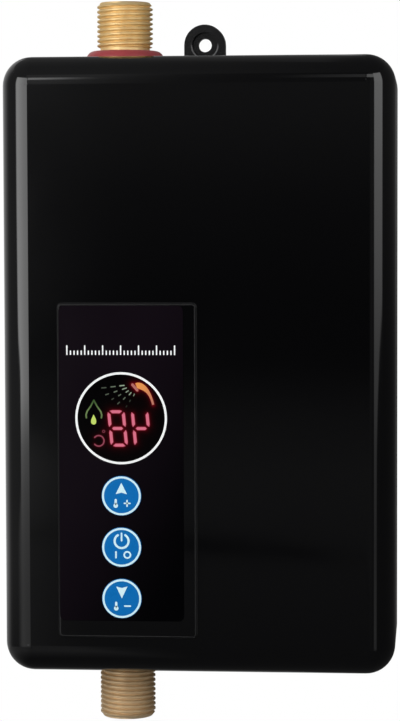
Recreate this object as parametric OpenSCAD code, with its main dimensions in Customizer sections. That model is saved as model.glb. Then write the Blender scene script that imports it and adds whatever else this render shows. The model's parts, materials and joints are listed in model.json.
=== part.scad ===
// Tankless electric water heater for a wall beside a shower.
// The wall is the plane y = 0, the front faces -y, +z is up and the origin is the middle of the back.

/* [Case] */
// Width of the case
case_w = 145; // [136:1:165]
// Height of the case without its pipe fittings
case_h = 228; // [214:1:250]
// Corner radius of the case seen from the front
corner_r = 10.8; // [10.8:0.2:16]
// Radius of the soft edge around the front face
front_edge_r = 10.5; // [6:0.5:10.5]
// Radius of the small edge around the back face
rear_edge_r = 1.5; // [0.5:0.5:2]
// Wall thickness of both shells
wall = 2.5; // [2:0.1:3.2]
// Thickness of the seal between the shells
seal_t = 1; // [0.6:0.1:1.6]
// Distance of the seal from the outside of the case
seal_inset = 0.7; // [0.4:0.1:1.2]
// Height of the rear shell's lip inside the front cover
lip_h = 4; // [2:0.5:6]
// Thickness of the lip
lip_t = 1.6; // [1.2:0.1:2.4]
// Gap between the lip and the front cover
lip_gap = 0.3; // [0.1:0.05:0.5]
// Depth of the solid band that carries the lip
lip_root = 5; // [3:0.5:6]

/* [Case screws] */
// Distance of a case screw from the two nearest sides of the case
boss_inset = 11.5; // [10:0.5:14]
// Diameter of a case screw's boss
boss_d = 8.4; // [7.2:0.2:10]
// Gap between the bosses of the two shells
boss_gap = 0.2; // [0.1:0.1:0.5]
// Thread diameter of a case screw
screw_d = 3; // [2.6:0.1:3.5]
// Length of a case screw under its head
screw_len = 36; // [30:1:44]
// Head diameter of a case screw
screw_head_d = 5.6; // [4.8:0.1:6]
// Head height of a case screw
screw_head_h = 2; // [1.4:0.1:2.4]
// Depth of the recess for a case screw's head
screw_recess = 3; // [2.4:0.2:5]

/* [Hanging ear] */
// Half of the ear's width
ear_r = 7.9; // [6.5:0.1:11]
// Distance of the ear to the left of the middle
ear_left = 1.5; // [0:0.1:4]
// Height of the ear's hole above the case
ear_rise = 6.7; // [6.2:0.1:18]
// Thickness of the ear
ear_t = 5; // [3.5:0.5:7]
// Diameter of the ear's hole
ear_hole_d = 5.1; // [4:0.1:7]
// Diameter of the recess for the wall screw's head
ear_recess_d = 9.8; // [8:0.1:12]
// Depth of the recess for the wall screw's head
ear_recess_depth = 2; // [1:0.25:3]

/* [Control panel] */
// Distance of the raised panel from the left side of the case
panel_left = 20.7; // [14:0.1:28]
// Distance of the raised panel from the bottom of the case
panel_bottom = 13.5; // [12:0.5:24]
// Height of the raised panel above the front face
panel_raise = 1.2; // [0.9:0.1:2]
// Corner radius of the raised panel
panel_corner_r = 2.2; // [1.8:0.1:6]
// Width of the slope around the raised panel
panel_slope = 1.1; // [0.4:0.1:1.5]
// Panel left bare to the left of the overlay
panel_margin_left = 1.2; // [1:0.1:6]
// Panel left bare to the right of the overlay
panel_margin_right = 5.4; // [1:0.1:8]
// Panel left bare above the overlay
panel_margin_top = 1.5; // [1.3:0.1:6]
// Panel left bare below the overlay
panel_margin_bottom = 6.9; // [1:0.1:8]
// Width of the overlay
overlay_w = 45.8; // [42:0.2:52]
// Thickness of the overlay
overlay_t = 0.8; // [0.5:0.1:0.9]
// Height of the overlay above the raised panel
overlay_proud = 0.1; // [0:0.05:0.3]
// Corner radius of the overlay
overlay_corner_r = 2; // [1:0.25:4]
// Gap around the overlay in its pocket
overlay_gap = 0.1; // [0.05:0.05:0.3]
// Height of the bare zone above the display
label_zone = 24.3; // [12:0.1:30]
// Radius of the round display window
display_r = 17; // [14:0.25:19]
// Width of the ledge that carries the display window
display_ledge = 1.5; // [1:0.1:2.5]
// Gap between the display window and the top button
display_gap = 4.2; // [3:0.1:7]

/* [Buttons] */
// Diameter of a button
button_d = 14.7; // [12:0.1:15.5]
// Distance between the buttons
button_pitch = 19; // [18.4:0.1:24]
// Overlay left below the lowest button
button_margin = 0.9; // [0.8:0.1:5]
// Height of a button above the overlay
button_proud = 0.3; // [0.1:0.1:1]
// Gap around a button
button_gap = 0.2; // [0.1:0.05:0.4]
// Width of the flange that keeps a button in
button_flange = 1; // [0.6:0.1:1.2]
// Thickness of that flange
button_flange_t = 1; // [0.8:0.1:1.5]
// Gap between that flange and the cover
flange_gap = 0.1; // [0.05:0.05:0.3]
// Diameter of a button's stem
stem_d = 4.4; // [4:0.2:6]
// Travel of a button
button_travel = 0.6; // [0.3:0.1:0.7]
// Side of a key switch
switch_w = 6.2; // [6:0.1:7]
// Height of a key switch
switch_h = 3.6; // [3:0.1:4]
// Diameter of a key switch's plunger
plunger_d = 3.4; // [3:0.1:3.8]
// Gap around a plunger
plunger_gap = 0.1; // [0.05:0.05:0.2]
// Length of a plunger inside its switch
plunger_in = 1; // [0.6:0.1:1.4]
// Length of a plunger outside its switch
plunger_out = 1.4; // [1:0.1:1.8]

/* [Display board] */
// Space between the display board and the front wall
board_standoff = 8; // [7.6:0.2:11]
// Thickness of both circuit boards
board_t = 1.6; // [1:0.1:2]
// Width of the display board
display_board_w = 42; // [40:0.5:44]
// Board left over above the display and below the lowest button
display_board_rim = 4; // [3:0.5:5]
// Distance of a board screw from the board's edges
board_screw_inset = 3.6; // [3.4:0.1:4.2]
// Thread diameter of a board screw
board_screw_d = 2.2; // [2:0.1:2.4]
// Head diameter of a board screw
board_screw_head_d = 4; // [3.6:0.1:4.4]
// Head height of a board screw
board_screw_head_h = 0.8; // [0.6:0.1:1]
// Length of a board screw under its head
board_screw_len = 6; // [5:0.5:7]
// Diameter of a board screw's boss
board_boss_d = 6; // [5:0.2:6.4]
// Width of the digit display
digit_w = 22; // [19:0.5:24]
// Height of the digit display
digit_h = 15; // [13:0.5:16]
// Digit display below the window's middle
digit_drop = 3.6; // [2:0.2:4]
// Gap between the digit display and the front wall
digit_gap = 0.4; // [0.2:0.1:1]
// Side of an indicator lamp
lamp_w = 3; // [2:0.2:3.4]
// Height of an indicator lamp
lamp_h = 2; // [1:0.2:3]
// Indicator lamps above the window's middle
lamp_rise = 9; // [8.4:0.2:10]
// Distance between the indicator lamps
lamp_pitch = 7.5; // [5:0.5:9]
// Width, height and depth of the display board's plug
display_plug_size = [7, 4.6, 5]; // [3:0.1:7.4]
// Place of that plug right of the window's middle and below it
display_plug_at = [16, 22]; // [4:0.5:24]

/* [Water fittings] */
// Distance of the pipe axis from the left side of the case
pipe_left = 42.75; // [40:0.25:48]
// Outer diameter of the pipe thread
thread_d = 20.955; // [16:0.005:24]
// Pitch of the pipe thread
thread_pitch = 1.814; // [1:0.001:2.5]
// Depth of the pipe thread
thread_depth = 1.162; // [0.6:0.001:1.4]
// Share of the pitch that is crest
thread_crest = 0.2; // [0.1:0.05:0.3]
// Width of the plain land along the thread on the wall's side
thread_land = 1.2; // [0.6:0.1:3]
// Length of a pipe fitting outside the case
nipple_out = 21.4; // [18:0.1:34]
// Length of the plain shank of the inlet outside the case
inlet_shank = 1.3; // [0.8:0.1:6]
// Length of the plain neck below the thread
neck_h = 1.1; // [0.8:0.1:3]
// Length of the chamfer at a fitting's mouth
nose_h = 0.5; // [0.3:0.1:1.5]
// Diameter of the waterway
waterway_d = 14; // [9:0.5:15]
// Gap between a fitting's hexagon and the wall
hex_gap = 1.5; // [1.2:0.1:3]
// Thickness of the hexagon
hex_t = 6; // [5:0.5:9]
// Width of the hexagon beyond the thread on each side
hex_margin = 3; // [2:0.5:4]
// Thickness of the strainer
strainer_t = 1.2; // [0.8:0.1:2]
// Ledge that carries the strainer
strainer_ledge = 0.8; // [0.5:0.1:1.2]
// Spacing of the strainer's holes
strainer_pitch = 1.5; // [1.3:0.05:1.8]
// Width of a strainer hole
strainer_hole = 1; // [0.6:0.05:1.2]
// Web between the strainer and the end of the hexagon
strainer_web = 2; // [1.5:0.1:3]
// Bore of a spigot
spigot_bore_d = 10; // [7:0.5:10.5]
// Wall of a spigot
spigot_wall = 2.6; // [2.5:0.1:3.5]
// Length of a spigot in its socket
spigot_len = 10; // [8:0.5:14]
// Gap around a part that is pushed into another
fit_gap = 0.15; // [0.05:0.05:0.25]
// Gap between a fitting and the rubber around it
ring_gap = 0.1; // [0.05:0.05:0.3]
// Rubber between a fitting and the case
ring_wall = 1.6; // [1.2:0.1:2.5]
// Height of the outlet's ring above the case
ring_h = 3.2; // [3.1:0.1:9]
// Width of the outlet's ring outside its hole
ring_overhang = 2.4; // [1.5:0.1:4.5]
// Radius of the shoulder of the outlet's ring
ring_edge_r = 3; // [1:0.1:3]
// Thickness of the rubber flange inside the case
ring_flange_t = 1.2; // [0.8:0.1:1.2]
// Thickness of a sealing ring
o_ring_d = 1.8; // [1.4:0.1:2]
// Gap around a sealing ring in its groove
o_ring_gap = 0.05; // [0.03:0.01:0.1]

/* [Flow sensor] */
// Outer diameter of the flow sensor
flow_d = 27; // [25:0.5:32]
// Bore of the turbine chamber
flow_bore_d = 19; // [18:0.5:20]
// Length of the throat under the turbine
throat_len = 2.5; // [1.5:0.5:5]
// Thickness of a spindle carrier
spider_t = 3; // [2:0.5:4]
// Width of a carrier's rim
spider_rim = 1.4; // [1:0.1:2]
// Diameter of a carrier's hub
spider_hub_d = 5; // [4:0.5:7]
// Thickness of a carrier's spoke
spider_spoke = 1.2; // [0.8:0.1:2]
// Length of the turbine
turbine_len = 11; // [8:0.5:14]
// Gap at each end of the turbine
turbine_float = 0.4; // [0.2:0.1:1]
// Diameter of the turbine's hub
turbine_hub_d = 7; // [5:0.5:9]
// Gap between the blades and the chamber
blade_gap = 0.8; // [0.4:0.1:1.5]
// Thickness of a blade
blade_t = 1; // [0.8:0.1:1.4]
// Lean of a blade
blade_lean = 32; // [10:1:40]
// Diameter of the spindle
spindle_d = 2; // [1.5:0.1:3]
// Running gap between the turbine and the spindle
running_gap = 0.05; // [0.02:0.01:0.09]
// Gap between the spindle and its carriers
spindle_fit = 0.02; // [0.01:0.01:0.05]
// Length of the tank's spigot in the flow sensor
head_spigot_len = 9; // [6:0.5:12]
// Bore of the tank's spigot in the flow sensor
head_bore_d = 12; // [9:0.5:13]
// Depth, width and height of the pulse sensor
pulse_size = [3, 9, 11]; // [2:0.5:13]
// Distance of the pulse sensor's seat from the flow sensor
pulse_seat = 2; // [1:0.5:4]
// Rim of that seat above and below the sensor
pulse_rim = 1; // [0.5:0.5:2]

/* [Heating tank] */
// Web between the outlet's socket and an element leg
head_web = 1.3; // [1:0.1:3]
// Diameter of the heating element
sheath_d = 5; // [4:0.5:6.5]
// Gap around an element leg in the tank's head
port_gap = 0.1; // [0.05:0.05:0.2]
// Rim between an element leg and the seal groove
head_rim = 0.85; // [0.6:0.05:2]
// Wall of the tank
tank_wall = 2.5; // [2:0.1:4]
// Thickness of a tank head's flange
head_flange_t = 4; // [3:0.5:6]
// Length of a tank head inside the tank
head_plug_len = 12; // [12:0.5:16]
// Space for the element's terminals above the tank
terminal_room = 12; // [12:0.5:18]
// Length of the element above the tank
element_out = 2; // [1:0.5:2.5]
// Gap between the element and the lower head
element_end_gap = 8; // [4:0.5:20]
// Height of a terminal's insulator
insulator_h = 3; // [2:0.5:4]
// Diameter of a terminal pin
pin_d = 2; // [1.5:0.1:2.5]
// Height of a terminal pin above the element
pin_h = 8; // [6:0.5:9]
// Space behind the tank
rear_gap = 4.2; // [4:0.1:8]
// Space in front of the tank
front_gap = 2.4; // [2.4:0.1:5]
// Distance of a strap from the tank's end
strap_end = 34; // [30:0.5:38]
// Width of a strap
strap_w = 12; // [9:0.5:14]
// Thickness of a strap
strap_t = 1.2; // [0.8:0.1:1.4]
// Length of a strap's tab
strap_tab = 10; // [9:0.5:12]
// Height of the seat for the thermal cut-out and the probe on the tank
seat_rise = 2; // [1.5:0.5:4]
// Diameter of the thermal cut-out
cutout_d = 16; // [13:0.5:17]
// Height of the thermal cut-out
cutout_h = 7; // [5:0.5:9]
// Distance between the cut-out's screws
cutout_pitch = 24; // [22:0.5:26]
// Thickness of the cut-out's flange
cutout_flange_t = 1; // [0.8:0.1:1.5]
// Width of the cut-out's flange
cutout_flange_w = 8; // [7:0.5:10]
// Distance of the probe from the tank's upper end
probe_end = 16.5; // [15:0.5:20]
// Diameter of the probe
probe_d = 4.6; // [3.6:0.1:5.4]
// Length of the probe inside the tank
probe_in = 8; // [4:0.5:12]
// Diameter of the probe's seat and hexagon
probe_seat_d = 9; // [8:0.5:10]
// Thickness of the probe's hexagon
probe_hex_t = 4; // [3:0.5:6]

/* [Control board] */
// Width of the control board
control_w = 48; // [44:0.5:52]
// Height of the control board
control_h = 118; // [108:1:124]
// Gap between the control board and the side wall
control_side = 4; // [3:0.5:7]
// Gap between the control board and the case screws
control_top = 2; // [1:0.5:6]
// Height of the posts behind the control board
post_h = 6; // [4:0.5:9]
// Width, height and depth of the relay
relay_size = [19, 16, 20]; // [10:0.5:24]
// Place of the relay from the board's middle
relay_at = [8, 44]; // [-50:0.5:50]
// Width, height and depth of the transformer
transformer_size = [28, 24, 22]; // [15:0.5:30]
// Place of the transformer from the board's middle
transformer_at = [-3, 16]; // [-50:0.5:50]
// Diameter of the capacitor
capacitor_d = 10; // [8:0.5:12]
// Height of the capacitor
capacitor_h = 18; // [12:0.5:24]
// Place of the capacitor from the board's middle
capacitor_at = [18, 16]; // [-50:0.5:50]
// Width, height and depth of the heat sink
sink_size = [34, 14, 24]; // [10:0.5:36]
// Place of the heat sink from the board's middle
sink_at = [5, -14]; // [-50:0.5:50]
// Thickness of the heat sink's plate and fins
sink_fin = 2; // [1.5:0.1:2.5]
// Width, thickness and height of the power switch
triac_size = [10, 4.5, 15]; // [3:0.5:18]
// Width, height and depth of a board plug
plug_size = [8, 6, 9]; // [5:0.5:11]
// Place of the heater's plug from the board's middle
plug_heater_at = [-18, 48]; // [-54:0.5:54]
// Place of the probe's plug from the board's middle
plug_probe_at = [-18, 36]; // [-54:0.5:54]
// Place of the thermal cut-out's plug from the board's middle
plug_cutout_at = [-18, -10]; // [-54:0.5:54]
// Place of the display's plug from the board's middle
plug_display_at = [-18, -26]; // [-54:0.5:54]
// Place of the pulse sensor's plug from the board's middle
plug_pulse_at = [-18, -42]; // [-54:0.5:54]
// Place of the mains plug from the board's middle
plug_mains_at = [4, -50]; // [-54:0.5:54]

/* [Mains entry] */
// Distance of the cord entry from the right side of the case
cord_right = 27.5; // [25:0.5:32]
// Distance of the cord entry from the wall
cord_depth = 12; // [11.5:0.1:12.4]
// Diameter of the cord entry
cord_d = 10; // [8:0.5:10.5]
// Rubber around the cord
grommet_wall = 2.4; // [2:0.1:2.6]
// Width of the grommet's flanges
grommet_flange = 1.3; // [0.8:0.1:1.4]
// Thickness of the grommet's flange outside the case
grommet_out = 1.4; // [1:0.1:2.5]
// Thickness of the grommet's flange inside the case
grommet_in = 2; // [1.5:0.1:3]
// Distance of the cord clamp from the case's lower wall
clamp_rise = 21; // [20:0.5:26]
// Distance between the cord clamp's screws
clamp_pitch = 21; // [20:0.5:24]
// Width of the cord clamp
clamp_w = 8; // [7:0.5:10]
// Thickness of the cord clamp
clamp_t = 3; // [2:0.5:4]
// Gap between the cord's middle and the cord clamp
clamp_lift = 4; // [3:0.5:5]
// Distance of the terminal block from the cord clamp
block_rise = 24; // [20:0.5:26]
// Width, height and depth of the terminal block
block_size = [34, 16, 18]; // [14:0.5:38]
// Distance between the terminals
block_pitch = 10; // [9:0.5:10.5]
// Diameter of a terminal screw's head
block_screw_d = 5; // [4:0.5:6]
// Height of a terminal screw
block_screw_h = 4; // [3:0.5:6]
// Depth of a terminal screw's head in its well
block_well = 3; // [2:0.5:5]
// Thickness of the ribs at the terminal block's ends
block_rib = 2; // [1.5:0.5:3]

/* [Wiring] */
// Diameter of a power lead
lead_d = 2.8; // [2:0.1:3.4]
// Diameter of a sensor lead
sensor_lead_d = 2; // [1.4:0.1:2.6]
// Diameter of the display cable
cable_d = 3; // [2:0.1:3.6]

/* [Hidden] */
$fn = 64;
cut = 0.5;
turbine_blades = 5;
sink_fins = 6;
strainer_rows = 2;
lead_aim = [0.13, 0.21, 0.97];
thread_clear = 0.05;
edge_step = 0.3;
head_clear = 0.3;
lead_rings = 18;
lead_sides = 8;

case_black = "#101012";
board_green = "#1f5a37";
brass = "#c9a25e";
steel = "#b9bcc0";
rubber_black = "#1b1b1b";
ring_red = "#8e2a3a";
key_blue = "#1270c0";
part_white = "#e6e6e2";

spigot_r = spigot_bore_d / 2 + spigot_wall;
leg_off = spigot_r + fit_gap + head_web + port_gap + sheath_d / 2;
groove_r = leg_off + sheath_d / 2 + port_gap + head_rim;
groove_depth = o_ring_d + 2 * o_ring_gap;
tube_r = groove_r + groove_depth;
tank_r = tube_r + tank_wall;
pipe_depth = wall + rear_gap + tank_r;
board_back = pipe_depth + tank_r + front_gap;
board_front = board_back + board_t;
cover_in = board_front + board_standoff;
case_d = cover_in + wall;
cover_back = pipe_depth + seal_t;
edge_r = min(front_edge_r, corner_r - edge_step);
inner_edge_r = max(edge_r - wall, 0.5);
inner_w = case_w - 2 * wall;
inner_h = case_h - 2 * wall;
inner_r = corner_r - wall;
inner_d = cover_in - cover_back;
case_top = case_h / 2;
case_bottom = -case_h / 2;
boss_x = case_w / 2 - boss_inset;
boss_z = case_h / 2 - boss_inset;

button_r = button_d / 2;
key_r = button_r + button_gap;
overlay_h = button_margin + button_d + 2 * button_pitch + display_gap + 2 * display_r + label_zone;
panel_w = panel_margin_left + overlay_w + panel_margin_right;
panel_h = panel_margin_bottom + overlay_h + panel_margin_top;
panel_x = -case_w / 2 + panel_left + panel_w / 2;
panel_z = case_bottom + panel_bottom + panel_h / 2;
overlay_x = -case_w / 2 + panel_left + panel_margin_left + overlay_w / 2;
overlay_low = case_bottom + panel_bottom + panel_margin_bottom;
overlay_z = overlay_low + overlay_h / 2;
down_z = overlay_low + button_margin + button_r;
power_z = down_z + button_pitch;
up_z = power_z + button_pitch;
display_z = up_z + button_r + display_gap + display_r;
pocket_floor = case_d + panel_raise + overlay_proud - overlay_t;
overlay_front = pocket_floor + overlay_t;
flange_front = cover_in - flange_gap;
switch_top = board_front + switch_h;
plunger_top = switch_top + plunger_out;

display_board_low = down_z - button_r - display_board_rim;
display_board_high = display_z + display_r + display_board_rim;
display_board_h = display_board_high - display_board_low;
display_board_z = (display_board_high + display_board_low) / 2;
display_screw_x = display_board_w / 2 - board_screw_inset;
display_screw_z = display_board_h / 2 - board_screw_inset;

pipe_x = -case_w / 2 + pipe_left;
thread_r = thread_d / 2;
shank_r = thread_r - ring_gap;
hole_r = thread_r + ring_gap + ring_wall;
thread_high = nipple_out - nose_h;
crest = thread_pitch * thread_crest;
root_r = thread_r - thread_depth;
hex_end = wall + hex_gap + hex_t;
hex_r = (thread_r + hex_margin) / cos(30);
strainer_r = waterway_d / 2 - strainer_ledge;
bore_end = hex_end - strainer_web - strainer_t;

flow_low = case_bottom + hex_end;
chamber_low = spigot_len + cut + throat_len;
turbine_low = chamber_low + spider_t + turbine_float;
upper_low = turbine_low + turbine_len + turbine_float;
flow_len = upper_low + spider_t + head_spigot_len;
flow_bore_r = flow_bore_d / 2;
spindle_r = spindle_d / 2;
tank_low = flow_low + flow_len + head_flange_t;
tank_high = case_top - hex_end - terminal_room - head_flange_t;
tank_mid = (tank_low + tank_high) / 2;
tank_len = tank_high - tank_low;
head_top = tank_high + head_flange_t;
leg_top = head_top + element_out;
bend_z = tank_low + head_plug_len + element_end_gap + sheath_d / 2 + leg_off;
strap_zs = [tank_low + strap_end, tank_high - strap_end];
strap_screw_x = tank_r + strap_tab / 2;
seat_x = tank_r + seat_rise;
probe_z = tank_high - probe_end;
socket_r = spigot_r + fit_gap;
plug_r = tube_r - fit_gap;
o_ring_r = o_ring_d / 2;

control_x = case_w / 2 - wall - control_side - control_w / 2;
control_z = boss_z - boss_d / 2 - control_top - control_h / 2;
control_back = wall + post_h;
control_front = control_back + board_t;
control_screw_x = control_w / 2 - board_screw_inset;
control_screw_z = control_h / 2 - board_screw_inset;
plug_places = [
    plug_heater_at, plug_probe_at, plug_cutout_at,
    plug_display_at, plug_pulse_at, plug_mains_at
];

cord_x = case_w / 2 - cord_right;
grommet_r = cord_d / 2 + grommet_wall;
clamp_z = case_bottom + wall + clamp_rise;
clamp_depth = cord_depth + clamp_lift;
block_z = clamp_z + block_rise;
terminal_xs = [-block_pitch, 0, block_pitch];

// Turns a shape so that its height becomes the distance from the wall.
module facing() {
    rotate([90, 0, 0])
        children();
}

// Puts a shape on the axis of the water fittings.
module on_pipe(z) {
    translate([pipe_x, -pipe_depth, z])
        children();
}

// Puts a shape at the four corners of a rectangle.
module at_corners(x, y) {
    for (sx = [-1, 1])
        for (sy = [-1, 1])
            translate([sx * x, sy * y, 0])
                children();
}

// Rectangle with round corners.
module round_rect(w, h, r) {
    square([w - 2 * r, h], center = true);
    square([w, h - 2 * r], center = true);
    at_corners(w / 2 - r, h / 2 - r)
        circle(r);
}

// Section of a soft edge: a rectangle with one round corner.
module edge_section(r, e, d) {
    difference() {
        square([r, d]);
        translate([r - e, d - e])
            difference() {
                square([e + cut, e + cut]);
                circle(e);
            }
    }
}

// Section of a sloping edge.
module slope_section(r, e, d) {
    polygon([[0, 0], [r, 0], [r - e, d], [0, d]]);
}

// Box with round corners, with the section of an edge carried around it.
module edged_box(w, h, d, r) {
    linear_extrude(d)
        square([w - 2 * r, h - 2 * r], center = true);
    for (k = [0 : 3]) {
        across = k % 2 == 0 ? w : h;
        along = k % 2 == 0 ? h : w;
        rotate([0, 0, 90 * k])
            translate([across / 2 - r, 0, 0]) {
                rotate([90, 0, 0])
                    linear_extrude(along - 2 * r, center = true)
                        children();
                translate([0, along / 2 - r, 0])
                    rotate_extrude(angle = 90)
                        children();
            }
    }
}

// Box with round corners and a round edge around its top.
module soft_box(w, h, d, r, e) {
    edged_box(w, h, d, r)
        edge_section(r, e, d);
}

// Plain tube.
module tube(outer, inner, h) {
    linear_extrude(h)
        difference() {
            circle(outer);
            circle(inner);
        }
}

// Pan head screw with its head above zero and its shank below.
module screw(d, len, head_d, head_h) {
    cylinder(d = head_d, h = head_h);
    translate([0, 0, -len])
        cylinder(d = d, h = len + head_h / 2);
}

// Board screw.
module board_screw() {
    screw(board_screw_d, board_screw_len, board_screw_head_d, board_screw_head_h);
}

// Box that stands on a board or a floor.
module block(size) {
    translate([-size.x / 2, -size.y / 2, 0])
        cube(size);
}

// Sealing ring that lies in a groove with the given bottom radius.
module o_ring(bottom_r) {
    rotate_extrude()
        translate([bottom_r + o_ring_gap + o_ring_r, 0])
            circle(o_ring_r, $fn = 32);
}

// Groove for a sealing ring, wide enough to reach past the part's surface.
module o_groove(bottom_r) {
    translate([0, 0, -o_ring_r - o_ring_gap])
        tube(bottom_r + groove_depth + cut, bottom_r, o_ring_d + 2 * o_ring_gap);
}

// Points of a smooth curve that leaves p along u and reaches q along v.
function curve_point(p, u, v, q, t) =
    p * pow(1 - t, 3) + 3 * (p + u) * t * pow(1 - t, 2) + 3 * (q - v) * t * t * (1 - t) + q * pow(t, 3);
function unit(v) = v / norm(v);
function curve_way(p, u, v, q, t) =
    unit(u * pow(1 - t, 2) + 2 * (q - v - p - u) * t * (1 - t) + v * t * t);

// Round lead from p to q.
module lead(p, u, v, q, d) {
    points = [
        for (i = [0 : lead_rings])
            let (
                t = i / lead_rings,
                way = curve_way(p, u, v, q, t),
                side = unit(cross(way, lead_aim)),
                rise = cross(side, way)
            )
                for (k = [0 : lead_sides - 1])
                    curve_point(p, u, v, q, t)
                        + d / 2 * (cos(k * 360 / lead_sides) * side + sin(k * 360 / lead_sides) * rise)
    ];
    walls = [
        for (i = [0 : lead_rings - 1])
            for (k = [0 : lead_sides - 1])
                let (
                    n = (k + 1) % lead_sides,
                    near = i * lead_sides,
                    far = near + lead_sides
                )
                    [near + k, near + n, far + n, far + k]
    ];
    first = [for (k = [lead_sides - 1 : -1 : 0]) k];
    last = [for (k = [0 : lead_sides - 1]) lead_rings * lead_sides + k];
    polyhedron(points, concat(walls, [first], [last]));
}

// Outside of the rear shell with the hanging ear, before it is hollowed.
module rear_outside() {
    translate([0, 0, pipe_depth])
        mirror([0, 0, 1])
            soft_box(case_w, case_h, pipe_depth, corner_r, rear_edge_r);
    linear_extrude(ear_t) {
        translate([-ear_left, case_top + ear_rise])
            circle(ear_r);
        translate([-ear_left - ear_r, case_top - wall])
            square([2 * ear_r, ear_rise + wall]);
    }
}

// Lip that stands from the rear shell into the front cover, with its solid root.
module rear_lip() {
    translate([0, 0, pipe_depth - lip_root])
        linear_extrude(lip_root)
            difference() {
                round_rect(inner_w + wall, inner_h + wall, inner_r + wall / 2);
                lip_inside();
            }
    translate([0, 0, pipe_depth - cut])
        linear_extrude(lip_h + seal_t + cut)
            difference() {
                round_rect(inner_w - 2 * lip_gap, inner_h - 2 * lip_gap, inner_r - lip_gap);
                lip_inside();
            }
}

// Inner outline of the lip.
module lip_inside() {
    inset = lip_gap + lip_t;
    round_rect(inner_w - 2 * inset, inner_h - 2 * inset, inner_r - inset);
}

// Bosses, saddles, posts and ribs on the floor of the rear shell.
module rear_fittings() {
    floor_at = wall - cut;
    translate([0, 0, floor_at]) {
        at_corners(boss_x, boss_z)
            cylinder(d = boss_d, h = pipe_depth - floor_at);
        for (z = strap_zs) {
            for (side = [-1, 1])
                translate([pipe_x + side * strap_screw_x, z, 0])
                    cylinder(d = boss_d, h = pipe_depth - floor_at);
            translate([pipe_x, z, 0])
                block([tank_r, strap_w / 2, rear_gap + tank_r / 2]);
        }
        translate([control_x, control_z, 0])
            at_corners(control_screw_x, control_screw_z)
                cylinder(d = board_boss_d, h = control_back - floor_at);
        for (side = [-1, 1]) {
            translate([cord_x + side * clamp_pitch / 2, clamp_z, 0])
                cylinder(d = boss_d, h = clamp_depth - floor_at);
            translate([control_x + side * (block_size.x + block_rib) / 2, block_z, 0])
                block([block_rib, block_size.y, block_size.z / 2]);
        }
    }
}

// Holes for the screws of the rear shell.
module rear_screw_holes() {
    at_corners(boss_x, boss_z) {
        translate([0, 0, -cut])
            cylinder(d = screw_head_d + 2 * head_clear, h = screw_recess + cut);
        cylinder(d = screw_d + 2 * head_clear, h = pipe_depth + cut);
    }
    for (z = strap_zs)
        for (side = [-1, 1])
            translate([pipe_x + side * strap_screw_x, z, pipe_depth - board_screw_len])
                cylinder(d = board_screw_d + 2 * thread_clear, h = board_screw_len + cut);
    translate([control_x, control_z, control_back - board_screw_len + board_t - cut])
        at_corners(control_screw_x, control_screw_z)
            cylinder(d = board_screw_d + 2 * thread_clear, h = board_screw_len);
    for (side = [-1, 1])
        translate([cord_x + side * clamp_pitch / 2, clamp_z, clamp_depth - board_screw_len])
            cylinder(d = board_screw_d + 2 * thread_clear, h = board_screw_len + cut);
}

// Hole and inner relief that both shells leave for one water fitting.
module pipe_hole() {
    translate([0, 0, -hex_end])
        cylinder(r = hole_r, h = hex_end + cut);
    translate([0, 0, -wall - hex_end])
        cylinder(r = hex_r + head_clear, h = hex_end);
}

// Holes that both shells leave for the water fittings.
module pipe_holes() {
    on_pipe(case_top)
        pipe_hole();
    on_pipe(case_bottom)
        mirror([0, 0, 1])
            pipe_hole();
}

module rear_shell() {
    color(case_black)
        difference() {
            facing()
                difference() {
                    union() {
                        difference() {
                            rear_outside();
                            translate([0, 0, wall])
                                linear_extrude(pipe_depth)
                                    round_rect(inner_w, inner_h, inner_r);
                        }
                        rear_lip();
                        rear_fittings();
                    }
                    rear_screw_holes();
                    translate([-ear_left, case_top + ear_rise, 0]) {
                        translate([0, 0, -cut])
                            cylinder(d = ear_hole_d, h = ear_t + 2 * cut);
                        translate([0, 0, ear_t - ear_recess_depth])
                            cylinder(d = ear_recess_d, h = ear_recess_depth + cut);
                    }
                }
            pipe_holes();
            on_pipe(tank_low)
                cylinder(r = tank_r + fit_gap, h = tank_len);
            translate([cord_x, -cord_depth, case_bottom - cut])
                cylinder(r = grommet_r + fit_gap, h = wall + 2 * cut);
        }
}

// Screw bosses inside the front cover.
module cover_bosses() {
    at_corners(boss_x, boss_z)
        translate([0, 0, pipe_depth + boss_gap])
            cylinder(d = boss_d, h = cover_in + cut - pipe_depth - boss_gap);
    translate([overlay_x, display_board_z, board_front])
        at_corners(display_screw_x, display_screw_z)
            cylinder(d = board_boss_d, h = board_standoff + cut);
}

// Openings of the raised panel and holes for the screws.
module cover_openings() {
    translate([overlay_x, overlay_z, pocket_floor])
        linear_extrude(overlay_t + cut)
            round_rect(
                overlay_w + 2 * overlay_gap,
                overlay_h + 2 * overlay_gap,
                overlay_corner_r + overlay_gap
            );
    translate([overlay_x, display_z, cover_in - cut])
        cylinder(r = display_r - display_ledge, h = case_d);
    for (z = [up_z, power_z, down_z])
        translate([overlay_x, z, cover_in - cut])
            cylinder(r = key_r, h = case_d);
    at_corners(boss_x, boss_z)
        translate([0, 0, pipe_depth])
            cylinder(d = screw_d + 2 * thread_clear, h = screw_recess + screw_len + cut - pipe_depth);
    translate([overlay_x, display_board_z, board_front - cut])
        at_corners(display_screw_x, display_screw_z)
            cylinder(d = board_screw_d + 2 * thread_clear, h = board_screw_len);
}

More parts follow.
